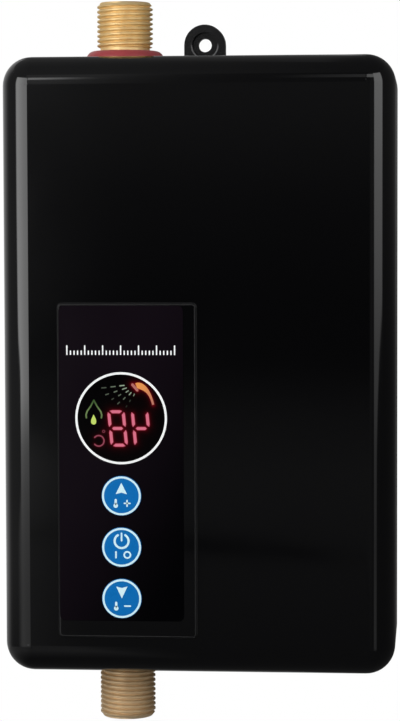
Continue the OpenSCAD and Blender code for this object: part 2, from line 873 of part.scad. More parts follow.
module front_cover() {
    color(case_black)
        difference() {
            facing()
                difference() {
                    union() {
                        difference() {
                            translate([0, 0, cover_back])
                                soft_box(case_w, case_h, case_d - cover_back, corner_r, edge_r);
                            translate([0, 0, cover_back - cut])
                                soft_box(inner_w, inner_h, inner_d + cut, inner_r, inner_edge_r);
                        }
                        translate([panel_x, panel_z, case_d - cut])
                            edged_box(panel_w, panel_h, panel_raise + cut, panel_corner_r)
                                slope_section(panel_corner_r, panel_slope, panel_raise + cut);
                        cover_bosses();
                    }
                    cover_openings();
                }
            pipe_holes();
        }
}

module casing_seal() {
    color(rubber_black)
        difference() {
            facing()
                translate([0, 0, pipe_depth])
                    linear_extrude(seal_t)
                        difference() {
                            round_rect(
                                case_w - 2 * seal_inset,
                                case_h - 2 * seal_inset,
                                corner_r - seal_inset
                            );
                            round_rect(inner_w, inner_h, inner_r);
                        }
            pipe_holes();
        }
}

module casing_screws() {
    color(steel)
        facing()
            at_corners(boss_x, boss_z)
                translate([0, 0, screw_recess])
                    mirror([0, 0, 1])
                        screw(screw_d, screw_len, screw_head_d, screw_head_h);
}

module panel_overlay() {
    color(case_black)
        facing()
            translate([0, 0, pocket_floor])
                linear_extrude(overlay_t)
                    difference() {
                        translate([overlay_x, overlay_z])
                            round_rect(overlay_w, overlay_h, overlay_corner_r);
                        translate([overlay_x, display_z])
                            circle(display_r + overlay_gap);
                        for (z = [up_z, power_z, down_z])
                            translate([overlay_x, z])
                                circle(key_r);
                    }
}

module display_window() {
    color(case_black)
        facing()
            translate([overlay_x, display_z, pocket_floor])
                cylinder(r = display_r, h = overlay_t);
}

// Button with its flange behind the cover and its stem down to the plunger.
module button(z) {
    cap_h = overlay_front + button_proud - flange_front + button_flange_t;
    color(key_blue)
        facing()
            translate([overlay_x, z, 0]) {
                translate([0, 0, flange_front - button_flange_t])
                    cylinder(r = button_r, h = cap_h);
                translate([0, 0, flange_front - button_flange_t])
                    cylinder(r = key_r + button_flange, h = button_flange_t);
                translate([0, 0, plunger_top])
                    cylinder(d = stem_d, h = flange_front - plunger_top);
            }
}

// Plunger of a key switch, which moves with its button.
module plunger(z) {
    color(part_white)
        facing()
            translate([overlay_x, z, switch_top - plunger_in])
                cylinder(d = plunger_d, h = plunger_in + plunger_out);
}

module up_button() {
    button(up_z);
}

module power_button() {
    button(power_z);
}

module down_button() {
    button(down_z);
}

module up_plunger() {
    plunger(up_z);
}

module power_plunger() {
    plunger(power_z);
}

module down_plunger() {
    plunger(down_z);
}

module key_switches() {
    well = plunger_in + button_travel + cut;
    color(rubber_black)
        facing()
            for (z = [up_z, power_z, down_z])
                translate([overlay_x, z, board_front])
                    difference() {
                        block([switch_w, switch_w, switch_h]);
                        translate([0, 0, switch_h - well])
                            cylinder(d = plunger_d + 2 * plunger_gap, h = well + cut);
                    }
}

module display_board() {
    color(board_green)
        facing()
            translate([overlay_x, display_board_z, board_back])
                linear_extrude(board_t)
                    difference() {
                        square([display_board_w, display_board_h], center = true);
                        at_corners(display_screw_x, display_screw_z)
                            circle(d = board_screw_d + 2 * head_clear);
                    }
}

module display_board_screws() {
    color(steel)
        facing()
            translate([overlay_x, display_board_z, board_back])
                at_corners(display_screw_x, display_screw_z)
                    mirror([0, 0, 1])
                        board_screw();
}

module digit_display() {
    color(part_white)
        facing()
            translate([overlay_x, display_z - digit_drop, board_front])
                block([digit_w, digit_h, board_standoff - digit_gap]);
}

module indicator_lamps() {
    color(part_white)
        facing()
            for (k = [-1 : 1])
                translate([overlay_x + k * lamp_pitch, display_z + lamp_rise, board_front])
                    block([lamp_w, lamp_w, lamp_h]);
}

module display_plug() {
    color(part_white)
        facing()
            translate([overlay_x + display_plug_at.x, display_z - display_plug_at.y, board_front])
                block(display_plug_size);
}

// Start of the thread above a plain shank.
function thread_low(shank) = shank + neck_h;

// Top of the crest in the middle of the thread.
function crest_mid(shank) = (thread_low(shank) + thread_high + crest) / 2;

// Turns of the thread on either side of its middle.
function half_turns(shank) = floor((thread_high - thread_low(shank)) / thread_pitch / 2);

// Half section of a pipe fitting from its mouth inwards, with the thread's grooves.
function nipple_section(inside, shank) = concat(
    [
        [waterway_d / 2, -bore_end],
        [waterway_d / 2, nipple_out],
        [root_r, nipple_out],
        [thread_r, thread_high]
    ],
    [
        for (k = [half_turns(shank) : -1 : 1 - half_turns(shank)])
            let (top = crest_mid(shank) + k * thread_pitch)
                each [
                    [thread_r, top - crest],
                    [root_r, top - thread_pitch / 2],
                    [root_r, top - thread_pitch / 2 - crest],
                    [thread_r, top - thread_pitch]
                ]
    ],
    [
        [thread_r, thread_low(shank)],
        [root_r, thread_low(shank) - neck_h / 2],
        [root_r, shank],
        [shank_r, shank],
        [shank_r, -hex_end],
        [spigot_r, -hex_end],
        [spigot_r, -hex_end - inside],
        [spigot_bore_d / 2, -hex_end - inside],
        [spigot_bore_d / 2, -bore_end - strainer_t],
        [strainer_r, -bore_end - strainer_t],
        [strainer_r, -bore_end]
    ]
);

// Land along the thread, left between the two halves of the fitting's die.
module die_land(shank) {
    land_h = thread_high - thread_low(shank);
    translate([0, 0, thread_low(shank)])
        intersection() {
            tube(thread_r, root_r - cut, land_h);
            translate([-thread_land / 2, 0, -cut])
                cube([thread_land, thread_r + cut, land_h + 2 * cut]);
        }
}

// Pipe fitting with its mouth up and zero at the outside of the case.
module nipple(inside, shank) {
    difference() {
        union() {
            rotate_extrude()
                polygon(nipple_section(inside, shank));
            die_land(shank);
            translate([0, 0, -hex_end])
                difference() {
                    cylinder(r = hex_r, h = hex_t, $fn = 6);
                    translate([0, 0, -cut])
                        cylinder(r = shank_r - cut, h = hex_t + 2 * cut);
                }
        }
        translate([0, 0, -hex_end - inside + spigot_len / 2])
            o_groove(socket_r - groove_depth);
    }
}

module outlet_nipple() {
    color(brass)
        on_pipe(case_top)
            nipple(terminal_room + spigot_len, ring_h);
}

module inlet_nipple() {
    color(brass)
        on_pipe(case_bottom)
            mirror([0, 0, 1])
                nipple(spigot_len, inlet_shank);
}

// Rubber in the wall's hole around a fitting, with its flange inside the case.
module wall_rubber() {
    rubber_r = hole_r - fit_gap;
    translate([0, 0, -wall])
        tube(rubber_r, thread_r, wall);
    translate([0, 0, -wall - ring_flange_t])
        tube(hole_r + ring_overhang / 2, thread_r, ring_flange_t);
}

module outlet_ring() {
    ring_r = hole_r + ring_overhang;
    color(ring_red)
        on_pipe(case_top) {
            wall_rubber();
            rotate_extrude()
                translate([thread_r, 0])
                    edge_section(ring_r - thread_r, ring_edge_r, ring_h);
        }
}

module inlet_grommet() {
    color(rubber_black)
        on_pipe(case_bottom)
            mirror([0, 0, 1])
                wall_rubber();
}

module inlet_strainer() {
    color(steel)
        on_pipe(case_bottom + bore_end)
            linear_extrude(strainer_t)
                difference() {
                    circle(strainer_r - fit_gap);
                    for (x = [-strainer_rows : strainer_rows])
                        for (y = [-strainer_rows : strainer_rows])
                            translate([x * strainer_pitch, y * strainer_pitch])
                                square(strainer_hole, center = true);
                }
}

module spigot_o_rings() {
    color(rubber_black) {
        on_pipe(case_top - hex_end - terminal_room - spigot_len / 2)
            o_ring(socket_r - groove_depth);
        on_pipe(flow_low + spigot_len / 2)
            o_ring(socket_r - groove_depth);
        on_pipe(flow_low + flow_len - head_spigot_len / 2)
            o_ring(flow_bore_r - groove_depth);
    }
}

module tank_o_rings() {
    color(rubber_black) {
        on_pipe(tank_low + head_plug_len / 2)
            o_ring(groove_r);
        on_pipe(tank_high - head_plug_len / 2)
            o_ring(groove_r);
    }
}

module flow_body() {
    seat_h = pulse_size.z + 2 * pulse_rim;
    color(part_white)
        on_pipe(flow_low)
            difference() {
                union() {
                    cylinder(d = flow_d, h = flow_len);
                    translate([0, -pulse_size.y / 2, turbine_low + (turbine_len - seat_h) / 2])
                        cube([flow_d / 2 + pulse_seat, pulse_size.y, seat_h]);
                }
                translate([0, 0, -cut])
                    cylinder(r = socket_r, h = spigot_len + 2 * cut);
                cylinder(d = spigot_bore_d, h = flow_len);
                translate([0, 0, chamber_low])
                    cylinder(r = flow_bore_r, h = flow_len);
            }
}

// Ring with spokes and a hub that carries one end of the turbine's spindle.
module carrier() {
    linear_extrude(spider_t)
        difference() {
            union() {
                difference() {
                    circle(flow_bore_r - fit_gap);
                    circle(flow_bore_r - fit_gap - spider_rim);
                }
                circle(d = spider_hub_d);
                for (a = [0, 120, 240])
                    rotate(a)
                        translate([0, -spider_spoke / 2])
                            square([flow_bore_r - spider_rim, spider_spoke]);
            }
            circle(spindle_r + spindle_fit);
        }
}

module lower_carrier() {
    color(part_white)
        on_pipe(flow_low + chamber_low)
            carrier();
}

module upper_carrier() {
    color(part_white)
        on_pipe(flow_low + upper_low)
            carrier();
}

module turbine_spindle() {
    color(steel)
        on_pipe(flow_low + chamber_low + spider_t / 4)
            cylinder(r = spindle_r, h = upper_low - chamber_low + spider_t / 2);
}

module flow_turbine() {
    blade_r = flow_bore_r - blade_gap;
    color(key_blue)
        on_pipe(flow_low + turbine_low)
            difference() {
                union() {
                    cylinder(d = turbine_hub_d, h = turbine_len);
                    intersection() {
                        cylinder(r = blade_r, h = turbine_len);
                        for (k = [0 : turbine_blades - 1])
                            rotate([0, 0, k * 360 / turbine_blades])
                                translate([turbine_hub_d / 4, 0, turbine_len / 2])
                                    rotate([blade_lean, 0, 0])
                                        translate([0, -blade_t / 2, -turbine_len])
                                            cube([blade_r, blade_t, 2 * turbine_len]);
                    }
                }
                translate([0, 0, -cut])
                    cylinder(r = spindle_r + running_gap, h = turbine_len + 2 * cut);
            }
}

module pulse_sensor() {
    color(rubber_black)
        on_pipe(flow_low + turbine_low + (turbine_len - pulse_size.z) / 2)
            translate([flow_d / 2 + pulse_seat, -pulse_size.y / 2, 0])
                cube(pulse_size);
}

module tank_tube() {
    seat_h = cutout_pitch + cutout_flange_w;
    color(steel)
        on_pipe(0)
            difference() {
                union() {
                    translate([0, 0, tank_low])
                        cylinder(r = tank_r, h = tank_len);
                    translate([0, -cutout_flange_w / 2, tank_mid - seat_h / 2])
                        cube([seat_x, cutout_flange_w, seat_h]);
                    translate([0, 0, probe_z])
                        rotate([0, 90, 0])
                            cylinder(d = probe_seat_d, h = seat_x);
                }
                translate([0, 0, tank_low - cut])
                    cylinder(r = tube_r, h = tank_len + 2 * cut);
                translate([0, 0, probe_z])
                    rotate([0, 90, 0])
                        cylinder(d = probe_d + 2 * fit_gap, h = seat_x + cut);
                for (side = [-1, 1])
                    translate([seat_x - seat_rise - cut, 0, tank_mid + side * cutout_pitch / 2])
                        rotate([0, 90, 0])
                            cylinder(d = board_screw_d + 2 * thread_clear, h = seat_rise + 2 * cut);
            }
}

module tank_top_head() {
    color(rubber_black)
        on_pipe(tank_high)
            difference() {
                union() {
                    cylinder(r = tank_r, h = head_flange_t);
                    translate([0, 0, -head_plug_len])
                        cylinder(r = plug_r, h = head_plug_len + cut);
                }
                translate([0, 0, head_flange_t - spigot_len])
                    cylinder(r = socket_r, h = spigot_len + cut);
                translate([0, 0, -head_plug_len - cut])
                    cylinder(d = spigot_bore_d, h = head_plug_len + head_flange_t);
                for (side = [-1, 1])
                    translate([0, side * leg_off, -head_plug_len - cut])
                        cylinder(d = sheath_d + 2 * port_gap, h = head_plug_len + head_flange_t + 2 * cut);
                translate([0, 0, -head_plug_len / 2])
                    o_groove(groove_r);
            }
}

module tank_bottom_head() {
    bore_len = head_plug_len + head_flange_t + head_spigot_len;
    color(rubber_black)
        on_pipe(tank_low)
            difference() {
                union() {
                    translate([0, 0, -head_flange_t])
                        cylinder(r = tank_r, h = head_flange_t);
                    translate([0, 0, -cut])
                        cylinder(r = plug_r, h = head_plug_len + cut);
                    translate([0, 0, -head_flange_t - head_spigot_len])
                        cylinder(r = flow_bore_r - fit_gap, h = head_spigot_len + cut);
                }
                translate([0, 0, -head_flange_t - head_spigot_len - cut])
                    cylinder(d = head_bore_d, h = bore_len + 2 * cut);
                translate([0, 0, head_plug_len / 2])
                    o_groove(groove_r);
                translate([0, 0, -head_flange_t - head_spigot_len / 2])
                    o_groove(flow_bore_r - groove_depth);
            }
}

module heating_element() {
    color(steel)
        on_pipe(bend_z) {
            for (side = [-1, 1])
                translate([0, side * leg_off, 0])
                    cylinder(d = sheath_d, h = leg_top - bend_z);
            rotate([0, 90, 0])
                rotate([0, 0, -90])
                    rotate_extrude(angle = 180)
                        translate([leg_off, 0])
                            circle(d = sheath_d);
        }
}

module terminal_insulators() {
    color(part_white)
        for (side = [-1, 1])
            on_pipe(leg_top)
                translate([0, side * leg_off, 0])
                    tube(sheath_d / 2, pin_d / 2 + spindle_fit, insulator_h);
}

module terminal_pins() {
    color(steel)
        for (side = [-1, 1])
            on_pipe(leg_top)
                translate([0, side * leg_off, 0])
                    cylinder(d = pin_d, h = pin_h);
}

module tank_straps() {
    strap_r = tank_r + fit_gap;
    tab_x = tank_r + strap_tab;
    color(steel)
        for (z = strap_zs)
            on_pipe(z)
                difference() {
                    union() {
                        translate([0, 0, -strap_w / 2])
                            intersection() {
                                tube(strap_r + strap_t, strap_r, strap_w);
                                translate([-tab_x, -tab_x, 0])
                                    cube([2 * tab_x, tab_x, strap_w]);
                            }
                        for (side = [0, 1])
                            mirror([side, 0, 0])
                                translate([strap_r, -strap_t, -strap_w / 2])
                                    cube([tab_x - strap_r, strap_t, strap_w]);
                    }
                    for (side = [-1, 1])
                        translate([side * strap_screw_x, cut, 0])
                            rotate([90, 0, 0])
                                cylinder(d = board_screw_d + 2 * head_clear, h = strap_t + 2 * cut);
                }
}

module strap_screws() {
    color(steel)
        facing()
            for (z = strap_zs)
                for (side = [-1, 1])
                    translate([pipe_x + side * strap_screw_x, z, pipe_depth + strap_t])
                        board_screw();
}

module thermal_cutout() {
    flange_h = cutout_pitch + cutout_flange_w;
    color(rubber_black)
        on_pipe(tank_mid)
            translate([seat_x, 0, 0])
                rotate([0, 90, 0])
                    difference() {
                        union() {
                            block([flange_h, cutout_flange_w, cutout_flange_t]);
                            cylinder(d = cutout_d, h = cutout_h);
                        }
                        for (side = [-1, 1])
                            translate([side * cutout_pitch / 2, 0, -cut])
                                cylinder(d = board_screw_d + 2 * head_clear, h = cutout_flange_t + 2 * cut);
                    }
}

module cutout_screws() {
    len = seat_rise + cutout_flange_t;
    color(steel)
        on_pipe(tank_mid)
            translate([seat_x + cutout_flange_t, 0, 0])
                rotate([0, 90, 0])
                    for (side = [-1, 1])
                        translate([side * cutout_pitch / 2, 0, 0])
                            screw(board_screw_d, len, board_screw_head_d, board_screw_head_h);
}

module temperature_probe() {
    color(brass)
        on_pipe(probe_z)
            translate([seat_x, 0, 0])
                rotate([0, 90, 0]) {
                    cylinder(d = probe_seat_d, h = probe_hex_t, $fn = 6);
                    translate([0, 0, -tank_wall - seat_rise - probe_in])
                        cylinder(d = probe_d, h = tank_wall + seat_rise + probe_in + cut);
                }
}

module control_board() {
    color(board_green)
        facing()
            translate([control_x, control_z, control_back])
                linear_extrude(board_t)
                    difference() {
                        square([control_w, control_h], center = true);
                        at_corners(control_screw_x, control_screw_z)
                            circle(d = board_screw_d + 2 * head_clear);
                    }
}

module control_board_screws() {
    color(steel)
        facing()
            translate([control_x, control_z, control_front])
                at_corners(control_screw_x, control_screw_z)
                    board_screw();
}

// Puts a part on the control board, measured from the board's middle.
module on_control(at) {
    facing()
        translate([control_x + at.x, control_z + at.y, control_front])
            children();
}

module relay() {
    color(key_blue)
        on_control(relay_at)
            block(relay_size);
}

module transformer() {
    color(part_white)
        on_control(transformer_at)
            block(transformer_size);
}

module capacitor() {
    color(case_black)
        on_control(capacitor_at)
            cylinder(d = capacitor_d, h = capacitor_h);
}

module heat_sink() {
    pitch = (sink_size.x - sink_fin) / (sink_fins - 1);
    color(steel)
        on_control(sink_at) {
            translate([-sink_size.x / 2, -sink_size.y / 2, 0])
                cube([sink_size.x, sink_fin, sink_size.z]);
            for (k = [0 : sink_fins - 1])
                translate([-sink_size.x / 2 + k * pitch, -sink_size.y / 2, 0])
                    cube([sink_fin, sink_size.y, sink_size.z]);
        }
}

module power_switch() {
    color(rubber_black)
        on_control(sink_at)
            translate([0, -(sink_size.y + triac_size.y) / 2, 0])
                block(triac_size);
}

module board_plugs() {
    color(part_white)
        for (at = plug_places)
            on_control(at)
                block(plug_size);
}

module terminal_block() {
    well = block_well + block_screw_h;
    color(part_white)
        facing()
            translate([control_x, block_z, wall])
                difference() {
                    block(block_size);
                    for (x = terminal_xs)
                        translate([x, 0, block_size.z - well])
                            cylinder(d = block_screw_d + 2 * fit_gap, h = well + cut);
                }
}

module terminal_screws() {
    color(brass)
        facing()
            for (x = terminal_xs)
                translate([control_x + x, block_z, wall + block_size.z - block_well - block_screw_h])
                    cylinder(d = block_screw_d, h = block_screw_h);
}

module cord_grommet() {
    color(rubber_black)
        translate([cord_x, -cord_depth, case_bottom]) {
            translate([0, 0, -grommet_out])
                tube(grommet_r + grommet_flange, cord_d / 2, grommet_out);
            tube(grommet_r, cord_d / 2, wall);
            translate([0, 0, wall])
                tube(grommet_r + grommet_flange, cord_d / 2, grommet_in);
        }
}

module cord_clamp() {
    color(part_white)
        facing()
            translate([cord_x, clamp_z, clamp_depth])
                difference() {
                    block([clamp_pitch + boss_d, clamp_w, clamp_t]);
                    for (side = [-1, 1])
                        translate([side * clamp_pitch / 2, 0, -cut])
                            cylinder(d = board_screw_d + 2 * head_clear, h = clamp_t + 2 * cut);
                }
}

module cord_clamp_screws() {
    color(steel)
        facing()
            for (side = [-1, 1])
                translate([cord_x + side * clamp_pitch / 2, clamp_z, clamp_depth + clamp_t])
                    board_screw();
}

// Middle of the left face of a board plug, in the frame of the whole heater.
function plug_left(at) = [
    control_x + at.x - plug_size.x / 2,
    -control_front - plug_size.z / 2,
    control_z + at.y
];

module heater_leads() {
    pin_mid = leg_top + (insulator_h + pin_h) / 2;
    spread = plug_size.y / 3;
    cutout_face = pipe_x + seat_x + cutout_h;
    color(ring_red)
        for (side = [-1, 1]) {
            lead(
                [pipe_x + pin_d / 2 + spindle_fit, -pipe_depth + side * leg_off, pin_mid],
                [2 * tank_r, 0, 0],
                [2 * plug_size.x, 0, 0],
                plug_left(plug_heater_at) - [0, 0, side * spread],
                lead_d
            );
            lead(
                [cutout_face, -pipe_depth, tank_mid + side * cutout_d / 4],
                [plug_size.x, 0, 0],
                [plug_size.x, 0, 0],
                plug_left(plug_cutout_at) + [0, 0, side * spread],
                lead_d
            );
        }
}

module mains_leads() {
    mains_low = plug_left(plug_mains_at) + [plug_size.x / 2, 0, -plug_size.y / 2];
    spread = plug_size.x / 4;
    color(key_blue)
        for (side = [-1, 1])
            lead(
                [control_x + side * block_pitch / 2, -wall - block_size.z / 2, block_z + block_size.y / 2],
                [0, 0, block_size.y / 2],
                [0, 0, block_size.y / 2],
                mains_low + [side * spread, 0, 0],
                lead_d
            );
}

module sensor_leads() {
    pulse_face = pipe_x + flow_d / 2 + pulse_seat + pulse_size.x;
    color(rubber_black) {
        lead(
            [pipe_x + seat_x + probe_hex_t, -pipe_depth, probe_z],
            [plug_size.x, 0, 0],
            [plug_size.x, 0, 0],
            plug_left(plug_probe_at),
            sensor_lead_d
        );
        lead(
            [pulse_face, -pipe_depth, flow_low + turbine_low + turbine_len / 2],
            [2 * plug_size.x, 0, 0],
            [2 * plug_size.x, 0, 0],
            plug_left(plug_pulse_at),
            sensor_lead_d
        );
    }
}

module display_cable() {
    color(rubber_black)
        lead(
            [
                overlay_x + display_plug_at.x + display_plug_size.x / 2,
                -board_front - display_plug_size.z / 2,
                display_z - display_plug_at.y
            ],
            [3 * plug_size.x, 0, 0],
            [2 * plug_size.x, 0, 0],
            plug_left(plug_display_at),
            cable_d
        );
}

rear_shell();
front_cover();
casing_seal();
casing_screws();
panel_overlay();
display_window();
up_button();
power_button();
down_button();
up_plunger();
power_plunger();
down_plunger();
key_switches();
display_board();
display_board_screws();
digit_display();
indicator_lamps();
display_plug();
outlet_nipple();
inlet_nipple();
outlet_ring();
inlet_grommet();
inlet_strainer();
spigot_o_rings();
tank_o_rings();
flow_body();
lower_carrier();
upper_carrier();
turbine_spindle();
flow_turbine();
pulse_sensor();
tank_tube();
tank_top_head();
tank_bottom_head();
heating_element();
terminal_insulators();
terminal_pins();
tank_straps();
strap_screws();
thermal_cutout();
cutout_screws();
temperature_probe();
control_board();
control_board_screws();
relay();
transformer();
capacitor();
heat_sink();
power_switch();
board_plugs();
terminal_block();
terminal_screws();
cord_grommet();
cord_clamp();
cord_clamp_screws();
heater_leads();
mains_leads();
sensor_leads();
display_cable();
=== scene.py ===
import json
import bmesh
import bpy
import numpy as np
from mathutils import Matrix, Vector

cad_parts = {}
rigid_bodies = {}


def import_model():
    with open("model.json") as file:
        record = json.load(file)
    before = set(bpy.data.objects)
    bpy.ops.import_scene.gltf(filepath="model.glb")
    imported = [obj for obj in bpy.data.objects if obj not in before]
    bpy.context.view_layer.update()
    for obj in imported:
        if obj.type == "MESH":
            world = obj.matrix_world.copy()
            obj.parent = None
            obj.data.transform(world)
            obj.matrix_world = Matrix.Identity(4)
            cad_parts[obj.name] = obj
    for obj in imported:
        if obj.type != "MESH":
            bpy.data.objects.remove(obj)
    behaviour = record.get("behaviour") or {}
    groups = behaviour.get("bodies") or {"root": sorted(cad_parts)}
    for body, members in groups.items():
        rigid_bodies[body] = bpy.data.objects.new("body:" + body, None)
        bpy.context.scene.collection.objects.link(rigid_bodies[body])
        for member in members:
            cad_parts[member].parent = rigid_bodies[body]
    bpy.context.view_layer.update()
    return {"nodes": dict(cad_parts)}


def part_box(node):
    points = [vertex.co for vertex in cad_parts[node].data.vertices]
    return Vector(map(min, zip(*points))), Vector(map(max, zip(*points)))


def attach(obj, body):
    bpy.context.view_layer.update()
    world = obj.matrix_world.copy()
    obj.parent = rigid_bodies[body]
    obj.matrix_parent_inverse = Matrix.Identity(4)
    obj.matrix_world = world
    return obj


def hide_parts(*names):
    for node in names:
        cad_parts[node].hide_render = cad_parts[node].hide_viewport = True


for spare in list(bpy.data.objects):  # Blender's own start-up cube, lamp and camera
    bpy.data.objects.remove(spare, do_unlink=True)

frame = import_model()
scene = bpy.context.scene
scene.view_settings.view_transform = "Standard"
mm = 0.001
print("frame loaded:", len(frame["nodes"]), "nodes")

# colours, nodes and meshes

weld = dict(points=1e-7, edges=1e-8)  # metres: closer points become one, shorter edges go
noiseSpan = {"From Min": 0.3, "From Max": 0.7}  # most values of a noise lie between these
detail = dict(cloud=3.0, haze=4.0, grain=2.0, stain=4.0, lines=3.0)  # finer layers of each noise


def linear(code):  # sRGB hex to linear light
    c = np.array([int(code[i:i + 2], 16) / 255 for i in (1, 3, 5)])
    c = np.where(c <= 0.04045, c / 12.92, ((c + 0.055) / 1.055) ** 2.4)
    return (*c.tolist(), 1.0)


def addNode(tree, kind, inputs=None, **settings):  # one node, its settings, its values or links
    node = tree.nodes.new("ShaderNode" + kind)
    for key, value in settings.items():
        setattr(node, key, value)
    for key, value in (inputs or {}).items():
        if isinstance(value, bpy.types.NodeSocket):
            tree.links.new(value, node.inputs[key])
        else:
            node.inputs[key].default_value = value
    return node


def newMaterial(name):  # a material with an empty node tree
    material = bpy.data.materials.new(name)
    material.use_nodes = True
    material.node_tree.nodes.clear()
    return material, material.node_tree


def gridFaces(rows, cols, loops):
    # the four corners of each cell of a grid; rows or columns named in loops run round to the first again
    i = np.arange(rows if "rows" in loops else rows - 1)
    j = np.arange(cols if "cols" in loops else cols - 1)
    a, b = np.meshgrid(i, j, indexing="ij")
    c, d = (a + 1) % rows, (b + 1) % cols
    return np.stack([a * cols + b, c * cols + b, c * cols + d, a * cols + d], -1).reshape(-1, 4)


def makePiece(name, patches, material, body, sharp=35, glow=None):
    # each patch is a grid of points in mm, with its rows or columns closed into a loop where asked;
    # "ends" closes the first and last row with a face, and glow holds one value for each point
    points, faces, start = [], [], 0
    for grid, loops in patches:
        rows, cols = grid.shape[:2]
        faces += (gridFaces(rows, cols, loops) + start).tolist()
        if "ends" in loops:
            faces += [(start + np.arange(cols)[::-1]).tolist()]
            faces += [(start + (rows - 1) * cols + np.arange(cols)).tolist()]
        points.append(grid.reshape(-1, 3))
        start += rows * cols
    mesh = bpy.data.meshes.new(name)
    mesh.from_pydata((np.concatenate(points) * mm).tolist(), [], faces)
    if glow is not None:
        layer = mesh.attributes.new("glow", "FLOAT", "POINT")
        layer.data.foreach_set("value", glow.astype(np.float32))
    bm = bmesh.new()
    bm.from_mesh(mesh)
    bmesh.ops.remove_doubles(bm, verts=bm.verts, dist=weld["points"])  # poles and seams
    bmesh.ops.dissolve_degenerate(bm, edges=bm.edges, dist=weld["edges"])
    bmesh.ops.recalc_face_normals(bm, faces=bm.faces)
    bm.to_mesh(mesh)
    bm.free()
    mesh.shade_smooth()
    mesh.set_sharp_from_angle(angle=np.radians(sharp))
    mesh.materials.append(material)
    piece = bpy.data.objects.new(name, mesh)
    scene.collection.objects.link(piece)
    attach(piece, body)
    return piece


# camera at the photograph's viewing angle

view = dict(
    lens=128.32, distance=1.00042, aim=(-0.00413, 0.0, -0.00105), clip=0.01,
    turn=5.159, rise=3.264, roll=-0.181,
)

turn, rise, roll = np.radians([view["turn"], view["rise"], view["roll"]])
backWay = np.array([np.sin(turn) * np.cos(rise), -np.cos(turn) * np.cos(rise), np.sin(rise)])
rightWay = np.array([np.cos(turn), np.sin(turn), 0])
upWay = np.cross(backWay, rightWay)
sideWay = rightWay * np.cos(roll) + upWay * np.sin(roll)
topWay = upWay * np.cos(roll) - rightWay * np.sin(roll)
pose = np.eye(4)
pose[:3] = np.stack([sideWay, topWay, backWay, np.array(view["aim"]) + backWay * view["distance"]], 1)
cameraData = bpy.data.cameras.new("camera")
cameraData.lens = view["lens"]
cameraData.clip_start = view["clip"]
camera = bpy.data.objects.new("camera", cameraData)
scene.collection.objects.link(camera)
camera.matrix_world = pose.T.tolist()
scene.camera = camera
print("camera placed")

# stage: pale floor, white surround, lamps for the matt surfaces and a tent that gloss and metal see

stage = dict(
    floorLow=-0.9, floorHalf=3.0, floorTone="#e9e9e7", floorShade="#e4e4e2", floorRough=0.8, floorLift=0.36,
    rollerMarks=3.0, ambient=0.5, surround=1.0, white="#ffffff",  # roller marks are counted to a metre
)
softLamps = dict(  # place, aim, width, height, radiance
    keyLamp=((-0.72, -0.86, 0.30), (-0.03, -0.05, 0.02), 1.05, 0.86, 2.7),
    fillLamp=((0.62, -0.95, 0.25), (0.04, -0.05, 0.02), 0.55, 0.75, 1.6),
)


def stagePiece(name, points, faces, material):  # belongs to the studio, not to the object
    mesh = bpy.data.meshes.new(name)
    mesh.from_pydata(points, [], faces)
    mesh.materials.append(material)
    piece = bpy.data.objects.new(name, mesh)
    scene.collection.objects.link(piece)
    return piece


def lampAt(name, place, aim, width, height, radiance):
    # an area lamp's power is its radiance times pi times its area
    data = bpy.data.lights.new(name, "AREA")
    data.shape = "RECTANGLE"
    data.size, data.size_y = width, height
    data.energy = radiance * np.pi * width * height
    lamp = bpy.data.objects.new(name, data)
    scene.collection.objects.link(lamp)
    back = np.array(place) - np.array(aim)
    back = back / np.linalg.norm(back)
    side = np.cross([0, 0, 1], back)
    side = side / np.linalg.norm(side)
    turned = np.eye(4)
    turned[:3] = np.stack([side, np.cross(back, side), back, place], 1)
    lamp.matrix_world = turned.T.tolist()
    lamp.visible_camera = lamp.visible_glossy = False  # gloss sees the tent's soft boxes instead


def seenRays(tree):  # 1 for what is seen straight, in gloss or through clear pieces, else 0
    path = addNode(tree, "LightPath").outputs
    seen = addNode(tree, "Math", {0: path["Is Camera Ray"], 1: path["Is Glossy Ray"]}, operation="MAXIMUM")
    clear = path["Is Transmission Ray"]
    return addNode(tree, "Math", {0: seen.outputs[0], 1: clear}, operation="MAXIMUM").outputs[0]


floorPaint, tree = newMaterial("matt_pale_floor")  # matt paint, faint roller marks
spot = addNode(tree, "TexCoord").outputs["Object"]
cloud = addNode(tree, "TexNoise", {
    "Vector": spot, "Scale": stage["rollerMarks"], "Detail": detail["cloud"]})
tone = addNode(tree, "Mix", {
    "Factor": cloud.outputs["Fac"], "A": linear(stage["floorShade"]), "B": linear(stage["floorTone"])},
    data_type="RGBA").outputs["Result"]
lift = addNode(tree, "Math", {0: seenRays(tree), 1: stage["floorLift"]}, operation="MULTIPLY")
matt = addNode(tree, "BsdfPrincipled", {
    "Base Color": tone, "Roughness": stage["floorRough"],
    "Emission Color": tone, "Emission Strength": lift.outputs[0]})
addNode(tree, "OutputMaterial", {"Surface": matt.outputs[0]})
half, low = stage["floorHalf"], stage["floorLow"]
corners = [(-half, -half, low), (half, -half, low), (half, half, low), (-half, half, low)]
stagePiece("floor", corners, [(0, 1, 2, 3)], floorPaint)

world = bpy.data.worlds.new("studio")
scene.world = world
world.use_nodes = True
tree = world.node_tree
tree.nodes.clear()
level = addNode(tree, "MapRange", {
    "Value": seenRays(tree), "To Min": stage["ambient"], "To Max": stage["surround"]})
air = addNode(tree, "Background", {"Color": linear(stage["white"]), "Strength": level.outputs[0]})
addNode(tree, "OutputWorld", {"Surface": air.outputs[0]})

for name, spec in softLamps.items():
    lampAt(name, *spec)
print("floor and lamps set")

# tent: a drum round the object, in metres and in degrees to the right from straight ahead of the case;
# a pair for an edge, a rise or a drop is where a smooth step starts and stops, and values listed with
# their places have straight lines between them

